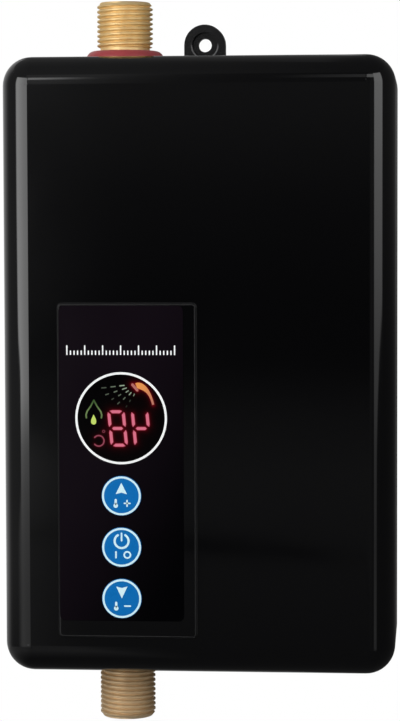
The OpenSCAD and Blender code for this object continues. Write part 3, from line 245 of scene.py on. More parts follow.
tent = dict(
    radius=1.5, middle=-0.05, turnSteps=480, capSteps=6,
    heights=(-0.6, -0.43, -0.31, -0.2, 0.3, 1.1, 1.45),
    steps=(0.017, 0.01, 0.004, 0.01, 0.0125, 0.025),  # height of a row of the wall between two of those
)
walls = dict(  # grey cloth, brightest at the left and behind
    meet=(-20, 40), rightTone=0.10, rightFoot=0.45, rightRise=(-0.118, 0.18),
    leftTurn=(-150, -134, -115, -107, -100, -88, -70), leftTone=(0.66, 0.66, 0.52, 0.36, 0.23, 0.185, 0.2),
    leftFoot=0.6, leftRise=(-0.36, -0.26),
)
ahead = dict(  # dark cloth in front of the case, which its face mirrors
    left=(-22, -14), right=(20, 14),
    high=(-0.35, -0.191, -0.138, -0.085, -0.019, 0.067, 0.16, 0.279),
    tone=(0.05, 0.085, 0.06, 0.01, 0.01, 0.03, 0.085, 0.12),
    glow=0.045, glowFrom=-13, glowReach=3.2, glowFoot=0.5, glowRise=(-0.26, -0.235),
    wedgeTurn=(-9, -4.3, -0.6, 1.5), wedgeHalf=(0.004, 0.0066, 0.003, 0.0), wedgeEdge=(0.6, 1.4),
    wedgeBlur=0.002, wedgeAt=-4.3, wedgeHigh=-0.259, wedgeSlope=-0.0022,
    top=0.055, topGlow=0.31, topFrom=-10.4, topReach=2.2, topRise=(0.2, 0.45),
    patch=0.08, patchLow=(0.133, 0.193), patchHigh=(0.45, 0.3), patchRight=(-8, -13),
)
keyBox = dict(  # tall soft box to the left, cut back and dimmer at its foot, flared at its head
    right=-13.0, edge=0.9, footEdge=3.0, footDrop=(-0.118, -0.185), flare=2.2, flareRise=(0.60, 0.67),
    leftHigh=(-0.187, -0.093, -0.083, -0.069, -0.058, -0.017, 0.07),
    leftTurn=(-46, -45.5, -47, -50.8, -54.2, -56, -57.3),
    leftEdge=3.0, blurDrop=(-0.19, -0.25), blurOut=17.0, blurIn=5.0,
    shareHigh=(-0.416, -0.337, -0.297, -0.251, -0.211, -0.163, -0.138, -0.109),
    share=(0.12, 0.13, 0.12, 0.15, 0.21, 0.34, 0.58, 0.95),
    top=(0.925, 0.865), toneTurn=(-46, -18), tone=(4.2, 2.7),
)
fillBox = dict(  # slim soft box to the right, cut back and dimmer at its foot
    left=32.0, leftEdge=1.0,
    rightHigh=(-0.165, -0.118, -0.072, -0.03), rightTurn=(43, 47, 54, 66), rightEdge=2.0,
    toneHigh=(-0.383, -0.337, -0.251, -0.163, -0.072, 0.019, 0.1, 0.166, 0.345),
    tone=(0.15, 0.3, 0.25, 0.4, 0.72, 1.25, 1.65, 2.15, 2.3), top=(1.20, 1.14),
)
strip = dict(  # faint light between both boxes, higher than the case, stronger to the right
    left=(-3, 1), low=(0.65, 0.71), high=(1.10, 1.04), tone=0.30, more=4.0, moreTurn=(0.3, 9),
)
caps = dict(  # roof, brighter over the left, and ground, lit on the left away from the middle
    roofAcross=(-0.3, 0.0), roofTone=(0.20, 0.085), roofLow=1.25,
    groundTone=0.05, groundTurn=(-41, -10.3, -9.3, -7), groundLift=(0.2, 0.13, 0.05, 0.0),
    groundOut=(0.4, 0.8), groundHigh=-0.5,
)
backWindow = dict(  # pale window behind the object; its angles are from the camera's line of sight
    left=(-7, -3), right=(19, 15), rise=(-0.2, 0.05), high=(0.45, 0.8), tone=(0.5, 0.16),
)


def soft(value, start, stop):  # smooth step from 0 at start to 1 at stop
    share = np.clip((value - start) / (stop - start), 0, 1)
    return share * share * (3 - 2 * share)


def lifted(z, foot, rise):  # share that grows with the height from foot to 1
    return foot + (1 - foot) * soft(z, *rise)


def fading(turn, start, reach):  # 1 up to start, then an exponential that falls to the right
    return np.exp(-np.maximum(turn - start, 0) / reach)


def wallLight(turn, z):
    # left tone by angle and right tone, each dimmer at its foot, joined by a smooth step
    w = walls
    left = np.interp(turn, w["leftTurn"], w["leftTone"]) * lifted(z, w["leftFoot"], w["leftRise"])
    right = w["rightTone"] * lifted(z, w["rightFoot"], w["rightRise"])
    return left + (right - left) * soft(turn, *w["meet"])


def aheadLight(turn, z):
    # tone by height and a glow that falls to the right, both cut by a dark slanting wedge;
    # above them a top with a glow of its own, and a light patch at the left
    a = ahead
    glow = a["glow"] * fading(turn, a["glowFrom"], a["glowReach"]) * lifted(z, a["glowFoot"], a["glowRise"])
    light = np.interp(z, a["high"], a["tone"]) + glow
    half = np.interp(turn, a["wedgeTurn"], a["wedgeHalf"])
    away = np.abs(z - a["wedgeHigh"] - a["wedgeSlope"] * (turn - a["wedgeAt"]))
    inner, outer = a["wedgeEdge"]
    light = light * soft(away, half * inner, half * outer + a["wedgeBlur"])
    top = a["top"] + a["topGlow"] * fading(turn, a["topFrom"], a["topReach"])
    light = light + (top - light) * soft(z, *a["topRise"])
    patch = soft(z, *a["patchLow"]) * soft(z, *a["patchHigh"]) * soft(turn, *a["patchRight"])
    return light + a["patch"] * patch


def keyLight(turn, z):
    # smooth steps at both sides and the top, times a share by height and a tone by angle
    k = keyBox
    left = np.interp(z, k["leftHigh"], k["leftTurn"])
    blur = soft(z, *k["blurDrop"])
    right = k["right"] + k["flare"] * soft(z, *k["flareRise"])
    edge = k["edge"] + k["footEdge"] * soft(z, *k["footDrop"])
    box = soft(turn, left - k["leftEdge"] - k["blurOut"] * blur, left + k["leftEdge"] + k["blurIn"] * blur)
    box = box * soft(turn, right + edge, right - edge) * soft(z, *k["top"])
    return box * np.interp(z, k["shareHigh"], k["share"]) * np.interp(turn, k["toneTurn"], k["tone"])


def fillLight(turn, z):
    # smooth steps at both sides and the top, times a tone by height; the strip ends where the box begins
    f, s = fillBox, strip
    right = np.interp(z, f["rightHigh"], f["rightTurn"])
    inBox = soft(turn, f["left"] - f["leftEdge"], f["left"] + f["leftEdge"])
    box = inBox * soft(turn, right + f["rightEdge"], right - f["rightEdge"]) * soft(z, *f["top"])
    line = (1 - inBox) * soft(turn, *s["left"]) * soft(z, *s["low"]) * soft(z, *s["high"])
    line = line * (1 + s["more"] * soft(turn, *s["moreTurn"]))
    return box * np.interp(z, f["toneHigh"], f["tone"]) + line * s["tone"]


def tentTone(turn, z, r):
    # brightness of the drum: walls, dark cloth ahead and both boxes, then roof, ground and window over them
    c, w = caps, backWindow
    tone = wallLight(turn, z)
    tone = tone + (aheadLight(turn, z) - tone) * soft(turn, *ahead["left"]) * soft(turn, *ahead["right"])
    tone = tone + keyLight(turn, z) + fillLight(turn, z)
    roof = np.interp(r * np.sin(np.radians(turn)), c["roofAcross"], c["roofTone"])
    tone = tone + (roof - tone) * soft(z, c["roofLow"], tent["heights"][-1])
    ground = c["groundTone"] + np.interp(turn, c["groundTurn"], c["groundLift"]) * soft(r, *c["groundOut"])
    tone = tone + (ground - tone) * soft(z, c["groundHigh"], tent["heights"][0])
    past = (turn - view["turn"]) % 360 - 180
    window = soft(past, *w["left"]) * soft(past, *w["right"]) * soft(z, *w["rise"])
    return tone + (np.interp(z, w["high"], w["tone"]) - tone) * window


cloth, tree = newMaterial("tent_cloth")  # grey cloth whose brightness is the drum's own "tone"
glow = addNode(tree, "Attribute", attribute_name="tone")
light = addNode(tree, "Emission", {"Color": linear(stage["white"]), "Strength": glow.outputs["Fac"]})
addNode(tree, "OutputMaterial", {"Surface": light.outputs[0]})
cloth.cycles.emission_sampling = "NONE"

# the drum: a line from the ground's middle up the wall to the roof's middle, carried round in equal turns
shrink = np.linspace(0, 1, tent["capSteps"])
spans = zip(tent["heights"][:-1], tent["heights"][1:], tent["steps"])
wall = [np.linspace(low, high, round((high - low) / step), endpoint=False) for low, high, step in spans]
wall = np.concatenate([*wall, tent["heights"][-1:]])
flat = np.ones(tent["capSteps"] - 1)
drumR = np.concatenate([shrink[:-1], np.ones(len(wall)), shrink[-2::-1]])[:, None] * tent["radius"]
drumZ = np.concatenate([flat * wall[0], wall, flat * wall[-1]])[:, None]
drumTurn = np.linspace(-180, 180, tent["turnSteps"], endpoint=False)[None, :]
across = drumR * np.sin(np.radians(drumTurn))
along = tent["middle"] - drumR * np.cos(np.radians(drumTurn))
grid = np.stack([across, along, drumZ + 0 * drumTurn], -1)
quads = gridFaces(*grid.shape[:2], "cols")[:, [0, 3, 2, 1]]  # turned to face outwards
drum = stagePiece("tent", grid.reshape(-1, 3).tolist(), quads.tolist(), cloth)
layer = drum.data.attributes.new("tone", "FLOAT", "POINT")
layer.data.foreach_set("value", tentTone(drumTurn, drumZ, drumR).ravel().astype(np.float32))
drum.visible_camera = drum.visible_diffuse = drum.visible_shadow = drum.visible_transmission = False
print("tent hung")

# finishes


def mouldedFinish(
        name, base, shade, patch, rough, smear, grain, depth,
        ior=1.5, level=0.5, sheen=0.0, edgeHighlight=None, sheenFade=None):
    # plastics, rubber and films: cloudy colour, uneven gloss, fine relief; sizes in mm
    material, tree = newMaterial(name)
    spot = addNode(tree, "TexCoord").outputs["Object"]
    cloud = addNode(tree, "TexNoise", {"Vector": spot, "Scale": 1 / mm / patch, "Detail": detail["cloud"]})
    colour = addNode(tree, "Mix", {
        "Factor": cloud.outputs["Fac"], "A": linear(base), "B": linear(shade)},
        data_type="RGBA").outputs["Result"]
    haze = addNode(tree, "TexNoise", {"Vector": spot, "Scale": 1 / mm / smear, "Detail": detail["haze"]})
    shine = addNode(tree, "MapRange", {
        "Value": haze.outputs["Fac"], **noiseSpan, "To Min": rough[0], "To Max": rough[1]}).outputs[0]
    relief = addNode(tree, "TexNoise", {
        "Vector": spot, "Scale": 1 / mm / grain, "Detail": detail["grain"]})
    bump = addNode(tree, "Bump", {
        "Height": relief.outputs["Fac"], "Distance": depth * mm, "Strength": 1.0})
    if sheenFade:  # a second tone that comes in along a slanting line of the front; where it has not come in, the first tone stays as a painted sheen
        slant = addNode(tree, "Mapping", {
            "Vector": spot, "Location": sheenFade["start"], "Rotation": (0.0, np.radians(sheenFade["turn"]), 0.0),
            "Scale": (1 / sheenFade["length"] / mm,) * 3})
        share = addNode(tree, "TexGradient", {"Vector": slant.outputs[0]}, gradient_type="EASING")
        colour = addNode(tree, "Mix", {
            "Factor": share.outputs["Fac"], "A": colour, "B": linear(sheenFade["tone"])},
            data_type="RGBA").outputs["Result"]
    if edgeHighlight:  # painted highlight line: distance from a rectangle or a point between two values, only in front
        place = addNode(tree, "SeparateXYZ", {"Vector": spot}).outputs
        away = addNode(tree, "CombineXYZ")
        for axis in "XZ":
            middle, half = edgeHighlight["middle"][axis] * mm, edgeHighlight["half"][axis] * mm
            off = addNode(tree, "Math", {0: place[axis], 1: middle}, operation="SUBTRACT")
            off = addNode(tree, "Math", {0: off.outputs[0]}, operation="ABSOLUTE")
            off = addNode(tree, "Math", {0: off.outputs[0], 1: half}, operation="SUBTRACT")
            off = addNode(tree, "Math", {0: off.outputs[0], 1: 0.0}, operation="MAXIMUM")
            tree.links.new(off.outputs[0], away.inputs[axis])
        rim = addNode(tree, "VectorMath", {0: away.outputs[0]}, operation="LENGTH").outputs["Value"]
        highlightShare = addNode(tree, "Math", {0: place["Y"], 1: edgeHighlight["front"] * mm}, operation="LESS_THAN")
        for value, ends in ((rim, edgeHighlight["inner"]), (rim, edgeHighlight["outer"]), (place["Z"], edgeHighlight["fade"])):
            step = addNode(tree, "MapRange", {
                "Value": value, "From Min": ends[0] * mm, "From Max": ends[1] * mm},
                interpolation_type="SMOOTHSTEP")
            highlightShare = addNode(tree, "Math", {0: highlightShare.outputs[0], 1: step.outputs[0]}, operation="MULTIPLY")
        colour = addNode(tree, "Mix", {
            "Factor": highlightShare.outputs[0], "A": colour, "B": linear(edgeHighlight["tone"])},
            data_type="RGBA").outputs["Result"]
        shine = addNode(tree, "MapRange", {
            "Value": highlightShare.outputs[0], "To Min": shine, "To Max": edgeHighlight["rough"]}).outputs[0]
    surface = addNode(tree, "BsdfPrincipled", {
        "Base Color": colour, "Roughness": shine, "Normal": bump.outputs[0],
        "IOR": ior, "Specular IOR Level": level, "Sheen Weight": sheen})
    addNode(tree, "OutputMaterial", {"Surface": surface.outputs[0]})
    return material


def metalFinish(name, base, stain, patch, rough, line, depth, way=(0.02, 0.02, 1.0), metal=1.0):
    # metals: stained colour and fine tool lines, sizes in mm; "way" is 1 across the lines and less
    # along them, and "metal" under 1 gives a dull skin
    material, tree = newMaterial(name)
    spot = addNode(tree, "TexCoord").outputs["Object"]
    cloud = addNode(tree, "TexNoise", {"Vector": spot, "Scale": 1 / mm / patch, "Detail": detail["stain"]})
    colour = addNode(tree, "Mix", {
        "Factor": cloud.outputs["Fac"], "A": linear(base), "B": linear(stain)}, data_type="RGBA")
    turned = addNode(tree, "Mapping", {"Vector": spot, "Scale": way})
    lines = addNode(tree, "TexNoise", {
        "Vector": turned.outputs[0], "Scale": 1 / mm / line, "Detail": detail["lines"]})
    shine = addNode(tree, "MapRange", {
        "Value": lines.outputs["Fac"], **noiseSpan, "To Min": rough[0], "To Max": rough[1]})
    bump = addNode(tree, "Bump", {
        "Height": lines.outputs["Fac"], "Distance": depth * mm, "Strength": 1.0})
    surface = addNode(tree, "BsdfPrincipled", {
        "Base Color": colour.outputs["Result"], "Roughness": shine.outputs[0], "Normal": bump.outputs[0],
        "Metallic": metal})
    addNode(tree, "OutputMaterial", {"Surface": surface.outputs[0]})
    return material


litFilm = dict(base="#020102", rough=0.08, ior=1.49, level=0.2)  # the window's own gloss


def litFinish(name, core, rim):
    # lamp-lit film: colour runs from rim to core by the piece's "glow" attribute
    material, tree = newMaterial(name)
    glow = addNode(tree, "Attribute", attribute_name="glow")
    colour = addNode(tree, "Mix", {
        "Factor": glow.outputs["Fac"], "A": linear(rim), "B": linear(core)}, data_type="RGBA")
    surface = addNode(tree, "BsdfPrincipled", {
        "Base Color": linear(litFilm["base"]), "Roughness": litFilm["rough"],
        "IOR": litFilm["ior"], "Specular IOR Level": litFilm["level"],
        "Emission Color": colour.outputs["Result"], "Emission Strength": 1.0})
    addNode(tree, "OutputMaterial", {"Surface": surface.outputs[0]})
    return material


# painted highlight line on the slope round the raised panel, lighter and rougher than the case
raised = dict(  # slope round the cover's raised panel, in mm
    middle=dict(X=-25.6, Z=-38.25), half=dict(X=24.0, Z=60.05), inner=(0.75, 1.05), outer=(2.2, 1.75),
    fade=(90.0, 80.0), front=-60.25, tone="#161617", rough=0.42,
)
# painted highlight on the lower edge of the ear's recess, as if caught from above, fading out above its
# middle
seat = dict(  # lower edge of the recess in the hanging ear, in mm
    middle=dict(X=-1.5, Z=120.7), half=dict(X=0.0, Z=0.0), inner=(4.7, 4.85), outer=(5.5, 5.2),
    fade=(121.9, 119.2), front=-3.5, tone="#6e6e70", rough=0.4,
)
# painted sheen on the film: its purple cast stays over the upper left and gives way to this near-black tone
# along a slant
filmSheenFade = dict(  # start in shares of the length, turn in degrees, length in mm
    start=(0.4545, 0.0, 0.0), turn=-25.0, length=55.0, tone="#020203",
)

# a moulded finish gives its name, two colours, cloud size, roughness range, smear size, grain size and
# depth; a metal gives its name, two colours, stain size, roughness range, line spacing and depth;
# fine grain and tool lines are drawn coarser than real, so that they show
finishes = dict(
    # polished black ABS: deep black, sharp reflections, faint flow waves, a painted highlight line, lighter
    # and rougher, on the slope round the raised panel
    polishedAbs=mouldedFinish(
        "polished_black_abs", "#040405", "#060607", 60, (0.045, 0.075), 35, 28, 0.004,
        ior=1.54, edgeHighlight=raised),
    # black ABS from a plain mould: deep black, softer gloss, a painted highlight, grey, on the lower edge
    # of the ear's recess
    satinAbs=mouldedFinish(
        "satin_black_abs", "#0a0a0b", "#0e0e10", 40, (0.16, 0.24), 12, 0.5, 0.004, ior=1.54, edgeHighlight=seat),
    # back-printed polyester film: flat black, with a painted sheen, a purple cast over the upper left that
    # fades along a slant
    printedFilm=mouldedFinish(
        "back_printed_film", "#130d13", "#0f0a10", 60, (0.10, 0.16), 20, 9, 0.002,
        ior=1.55, level=0.05, sheenFade=filmSheenFade),
    # smoked acrylic: near black, very clear gloss
    smokedAcrylic=mouldedFinish(
        "smoked_acrylic", "#010101", "#030202", 30, (0.05, 0.08), 15, 14, 0.001, ior=1.49, level=0.2),
    # through-dyed blue ABS key caps: even blue with a satin top
    dyedKey=mouldedFinish(
        "dyed_blue_abs", "#046cb6", "#0466ac", 9, (0.26, 0.36), 5, 0.8, 0.004, ior=1.54, level=0.12),
    # white pad-printed ink: bright and slightly uneven
    padInk=mouldedFinish("white_pad_ink", "#fbfcfc", "#f3f6f7", 3, (0.40, 0.50), 2, 0.4, 0.002),
    # the keys' ink, thinner, so that the blue shows through
    keyInk=mouldedFinish("thin_white_pad_ink", "#d8f4fb", "#c8ecf6", 3, (0.40, 0.50), 2, 0.4, 0.002),
    # black silicone seal: matt, a little dusty
    sealRubber=mouldedFinish(
        "black_silicone", "#151516", "#1d1d1e", 8, (0.55, 0.70), 4, 0.6, 0.01, ior=1.43, sheen=0.1),
    # crimson rubber ring: deep red, soft shine on the shoulder
    crimsonRubber=mouldedFinish(
        "crimson_rubber", "#a83e42", "#943438", 6, (0.38, 0.52), 4, 0.7, 0.01, sheen=0.1),
    # natural white nylon, moulded: milky white, soft gloss
    whiteNylon=mouldedFinish(
        "white_nylon", "#e8e7e2", "#dcdad3", 7, (0.40, 0.55), 4, 0.6, 0.008, ior=1.53),
    # black glass-filled nylon: grey streaks of fibre
    filledNylon=mouldedFinish(
        "black_filled_nylon", "#161617", "#232325", 3, (0.45, 0.60), 2, 0.4, 0.012, ior=1.53),
    # green solder mask over copper: darker tracks show through
    solderMask=mouldedFinish(
        "green_solder_mask", "#1f5a37", "#174629", 1.6, (0.22, 0.34), 1.2, 1.1, 0.02, ior=1.55),
    # blue acetal, moulded: even blue, waxy gloss
    blueAcetal=mouldedFinish(
        "blue_acetal", "#2a62b4", "#2457a2", 3, (0.32, 0.44), 2, 0.5, 0.006, ior=1.48),
    # fired white ceramic: warm white, finely pitted
    firedCeramic=mouldedFinish(
        "fired_ceramic", "#efece4", "#e2ddd0", 2, (0.30, 0.50), 1.5, 0.3, 0.01, ior=1.6),
    # yellow polyester winding tape: clear yellow, slight wrinkles
    windingTape=mouldedFinish(
        "yellow_winding_tape", "#c9a733", "#b8952a", 2.5, (0.25, 0.38), 3, 1.2, 0.01, ior=1.6),
    # drawn silicone wire sleeves: matt, even colours
    redSleeve=mouldedFinish(
        "red_silicone_sleeve", "#a02a22", "#8c221c", 3, (0.45, 0.60), 2, 0.4, 0.008, ior=1.43),
    blueSleeve=mouldedFinish(
        "blue_silicone_sleeve", "#27489a", "#1f3c84", 3, (0.45, 0.60), 2, 0.4, 0.008, ior=1.43),
    blackSleeve=mouldedFinish(
        "black_silicone_sleeve", "#1a1a1b", "#242425", 3, (0.45, 0.60), 2, 0.4, 0.008, ior=1.43),
    # turned brass: warm yellow, tool lines round the axis, a thin dull skin of tarnish
    turnedBrass=metalFinish(
        "turned_brass", "#f9e0a9", "#edcd92", 7, (0.50, 0.62), 0.35, 0.006, metal=0.7),
    # the same brass, darker and greyer, on the lower fitting
    dulledBrass=metalFinish(
        "darker_lower_brass", "#e8cfa8", "#d6bb95", 7, (0.50, 0.62), 0.35, 0.006, metal=0.7),
    # zinc-plated steel: bluish grey, fine even grain
    zincSteel=metalFinish(
        "zinc_plated_steel", "#c3c5c9", "#aeb0b6", 2, (0.28, 0.42), 0.25, 0.004, way=(1.0, 1.0, 1.0)),
    # drawn stainless steel: neutral grey, fine lines round the tank
    drawnStainless=metalFinish(
        "drawn_stainless", "#c2c2c0", "#b2b1ae", 12, (0.24, 0.36), 0.4, 0.004),
    # extruded aluminium: pale grey, lines along the fins
    extrudedAluminium=metalFinish(
        "extruded_aluminium", "#c9cacc", "#b9babc", 9, (0.34, 0.46), 0.4, 0.006, way=(1.0, 1.0, 0.02)),
)
print("finishes made:", len(finishes))

slotFinish = dict(
    case_black="polishedAbs", overlay_black="printedFilm", smoked_window="smokedAcrylic",
    seal_rubber="sealRubber", screw_steel="zincSteel", key_blue="dyedKey", white_plastic="whiteNylon",
    black_plastic="filledNylon", circuit_board="solderMask", pipe_brass="turnedBrass",
    ring_red="crimsonRubber", tank_steel="drawnStainless", turbine_blue="blueAcetal",
    insulator_white="firedCeramic", transformer_tape="windingTape", sink_aluminium="extrudedAluminium",
    lead_red="redSleeve", lead_blue="blueSleeve", lead_black="blackSleeve",
)
for node in frame["nodes"].values():
    for place in node.material_slots:
        place.material = finishes[slotFinish[place.material.name.split(".")[0]]]
for place in frame["nodes"]["rear_shell"].material_slots:
    place.material = finishes["satinAbs"]
print("nodes finished")

# pipe fittings with a true helix

fitting = dict(  # mm; heights are from the case's end face, outwards
    axis=(-29.75, -26.2), face=114.0, threadR=10.4775, rootR=9.3155, pitch=1.814, crest=0.3, root=0.12,
    neck=0.55, runIn=1.1, runOut=0.4, threadHigh=20.9, nose=1.0, noseShare=0.75,
    mouth=21.4, lipIn=0.25, lipDown=0.12, bore=7.0, boreEdge=0.35,
    shankR=10.3775, hexEnd=10.0, hexThick=6.0, hexFlat=13.4775, spigotR=7.6, spigotBore=5.0,
    boreEnd=6.8, ledge=6.2, ledgeEnd=8.0, land=1.2, landEdge=0.4, turnSteps=192, pitchSteps=18, sharp=40,
)


def threadedFitting(name, node, inside, shank, sign, finish):
    # closed profile carried round the axis; on the thread the radius drops from the crest by the
    # groove's depth, a clipped triangle wave of height over pitch less the turn's share
    f = fitting
    threadLow = shank + f["runIn"]
    steps = int((f["threadHigh"] - threadLow) / f["pitch"] * f["pitchSteps"])
    thread = np.linspace(f["threadHigh"], threadLow, steps)
    end = f["hexEnd"] + inside
    hexTop = f["hexThick"] - f["hexEnd"]
    profile = [  # radius, height, kind: 0 plain, 1 thread, 2 hexagon
        (f["bore"] + f["boreEdge"], f["mouth"], 0), (f["rootR"] - f["lipIn"], f["mouth"], 0),
        (f["rootR"], f["mouth"] - f["lipDown"], 0), *[(f["threadR"], z, 1) for z in thread],
        (f["rootR"], shank + f["neck"], 0), (f["rootR"], shank, 0), (f["shankR"], shank, 0),
        (f["shankR"], hexTop, 0), (f["hexFlat"], hexTop, 2), (f["hexFlat"], -f["hexEnd"], 2),
        (f["spigotR"], -f["hexEnd"], 0), (f["spigotR"], -end, 0), (f["spigotBore"], -end, 0),
        (f["spigotBore"], -f["ledgeEnd"], 0), (f["ledge"], -f["ledgeEnd"], 0),
        (f["ledge"], -f["boreEnd"], 0), (f["bore"], -f["boreEnd"], 0),
        (f["bore"], f["mouth"] - f["boreEdge"], 0),
    ]
    r, z, kind = np.array(profile).T[:, :, None]
    t = np.linspace(0, 2 * np.pi, f["turnSteps"], endpoint=False)[None, :]
    phase = ((z - threadLow) / f["pitch"] - t / (2 * np.pi)) % 1
    wave = np.abs(phase - 0.5) * 2  # 1 on the crest's middle, 0 in the root's
    depth = np.clip((1 - f["crest"] - wave) / (1 - f["crest"] - f["root"]), 0, 1)
    fade = np.clip((z - threadLow) / f["runOut"], 0, 1)  # the groove runs out into the neck
    nose = np.clip((z - f["threadHigh"] + f["nose"]) / f["nose"], 0, 1)  # and the mouth is chamfered
    fromBack = np.abs((t + np.pi / 2) % (2 * np.pi) - np.pi) * f["threadR"]
    offLand = np.clip((fromBack - f["land"] / 2) / f["landEdge"], 0, 1)  # a smooth land down the back
    groove = np.maximum(depth * offLand, np.maximum(1 - fade, f["noseShare"] * nose))
    cut = (f["threadR"] - f["rootR"]) * groove
    hexR = f["hexFlat"] / np.cos((t + np.pi / 6) % (np.pi / 3) - np.pi / 6)
    r = np.where(kind == 1, r - cut, np.where(kind == 2, hexR, r))
    x, y = f["axis"]
    grid = np.stack([x + r * np.cos(t), y + r * np.sin(t), sign * (f["face"] + z) + 0 * t], -1)
    piece = makePiece(name, [(grid, "rows cols")], finishes[finish], "casing", f["sharp"])
    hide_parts(node)


threadedFitting("outlet_fitting", "outlet_nipple", inside=22.5, shank=3.2, sign=1, finish="turnedBrass")
threadedFitting("inlet_fitting", "inlet_nipple", inside=10.0, shank=1.3, sign=-1, finish="dulledBrass")
print("fittings turned")

# flat shapes on the front, in mm


def onPanel(points, depth):  # points of the front with their depth
    return np.stack([points[..., 0], np.full(points.shape[:-1], depth), points[..., 1]], -1)


def revolved(profile, x, z, steps=96):
    # profile of radius and depth carried round a line along Y
    t = np.linspace(0, 2 * np.pi, steps, endpoint=False)
    r, y = np.array(profile, float).T[:, :, None]
    return np.stack([x + r * np.cos(t), y + 0 * t, z + r * np.sin(t)], -1)


def slab(left, right, front, back):
    # thin plate between two lines of the panel: four corners carried along both lines
    rows = [(left, front), (right, front), (right, back), (left, back)]
    return np.stack([onPanel(line, depth) for line, depth in rows], 1)


def stroke(points, width, front, back, steps=40, closed=False, capSteps=9):
    # pen stroke: the line's left and right sides at half its width; an open one has round ends, where
    # the half width follows a circle
    points = np.array(points, float)
    cap = width / 2
    if closed:
        way = np.roll(points, -1, 0) - np.roll(points, 1, 0)
        half = np.full(len(points), cap)
    else:
        gone = np.concatenate([[0], np.cumsum(np.linalg.norm(np.diff(points, axis=0), axis=1))])
        turnIn = cap * (1 - np.cos(np.linspace(0, np.pi / 2, capSteps)))
        inner = np.linspace(0, gone[-1], steps)[1:-1]
        at = np.concatenate([turnIn - cap, inner, gone[-1] + cap - turnIn[::-1]])
        first, last = points[1] - points[0], points[-1] - points[-2]
        start = points[0] - first / np.linalg.norm(first) * cap
        stop = points[-1] + last / np.linalg.norm(last) * cap
        full = np.concatenate([[start], points, [stop]])
        far = np.concatenate([[-cap], gone, [gone[-1] + cap]])
        points = np.stack([np.interp(at, far, full[:, k]) for k in (0, 1)], 1)
        past = np.maximum(0, np.maximum(-at, at - gone[-1]))
        half = np.sqrt(np.maximum(0, cap ** 2 - past ** 2))
        way = np.gradient(points, axis=0)
    way = way / np.linalg.norm(way, axis=1)[:, None]
    over = np.stack([-way[:, 1], way[:, 0]], 1) * half[:, None]
    return slab(points - over, points + over, front, back)


def upright(x, z, line, front, back, steps=40):  # pen stroke straight up: its low end, high end and width
    low, high, width = line
    return stroke([(x, z + low), (x, z + high)], width, front, back, steps)


def arc(x, z, r, start, stop, steps=60):  # points on a circle, degrees from the right, upwards
    t = np.radians(np.linspace(start, stop, steps))
    return np.stack([x + r * np.cos(t), z + r * np.sin(t)], 1)


def band(x, z, inner, outer, front, back, steps=128):
    # flat ring: a rectangle carried round a circle
    return revolved([(inner, front), (outer, front), (outer, back), (inner, back)], x, z, steps)


# buttons

keys = dict(
    radius=7.35, flatShare=0.6, edge=0.3, edgeSteps=7, flangeR=8.55, flangeFront=-57.6, flangeBack=-56.6,
    stemR=2.2, rim=(6.42, 7.16), ink=0.04, ease=0.02,
)
signSizes = dict(  # mm from the key's middle
    standby=(2.3, 2.58, 122, 418), standbyPen=0.8, standbySteps=80,  # ring: height, radius, degrees
    stem=(2.5, 5.15, 0.64), on=(-3.85, -1.75, 0.62),  # low end, high end, width
    off=(-2.8, 1.15, 0, 354), offPen=0.6, offSteps=48, aside=2.1,
    arrow=dict(up=(4.85, 0.6, 1.2), down=(0.05, 4.5, 3.95)), arrowHalf=2.1,  # heights: tip, feet, notch
    tube=(-2.9, -1.55, 0.85), bulb=(-3.6, 0.85), bulbSteps=24,
    minus=(-2.75, 1.05, 0.55), plus=(-3.8, -1.7, 0.55),  # minus: height, half length, width
)


def keySigns(kind, x, z, front, back):
    # white signs of one key: an arrow or the standby sign above, two small plain signs below
    s = signSizes
    left, right = x - s["aside"], x + s["aside"]
    if kind == "power":
        high, radius, start, stop = s["standby"]
        ring = arc(x, z + high, radius, start, stop)
        ring = stroke(ring, s["standbyPen"], front, back, s["standbySteps"])
        high, radius, start, stop = s["off"]
        off = arc(right, z + high, radius, start, stop, s["offSteps"])
        off = stroke(off, s["offPen"], front, back, closed=True)
        stem = upright(x, z, s["stem"], front, back)
        on = upright(left, z, s["on"], front, back)
        return [(ring, "cols"), (stem, "cols"), (on, "cols"), (off, "rows cols")]
    tip, foot, notch = np.array(s["arrow"][kind]) + z
    half = s["arrowHalf"]
    # arrow: from its tip to its feet and back to its notch, front and back
    head = np.array([[(x, tip)] * 3, [(x - half, foot), (x, notch), (x + half, foot)], [(x, notch)] * 3])
    head = np.concatenate([onPanel(head, front), onPanel(head[:, ::-1], back)], 1)
    high, radius = s["bulb"]
    t = np.linspace(np.pi / 2, 3 * np.pi / 2, s["bulbSteps"])
    over, up = radius * np.cos(t), z + high + radius * np.sin(t)
    bulb = slab(np.stack([left + over, up], 1), np.stack([left - over, up], 1), front, back)
    high, half, width = s["minus"]
    minus = stroke([(right - half, z + high), (right + half, z + high)], width, front, back)
    flat = [head, upright(left, z, s["tube"], front, back), bulb, minus]
    if kind == "up":
        flat.append(upright(right, z, s["plus"], front, back))
    return [(sign, "cols") for sign in flat]


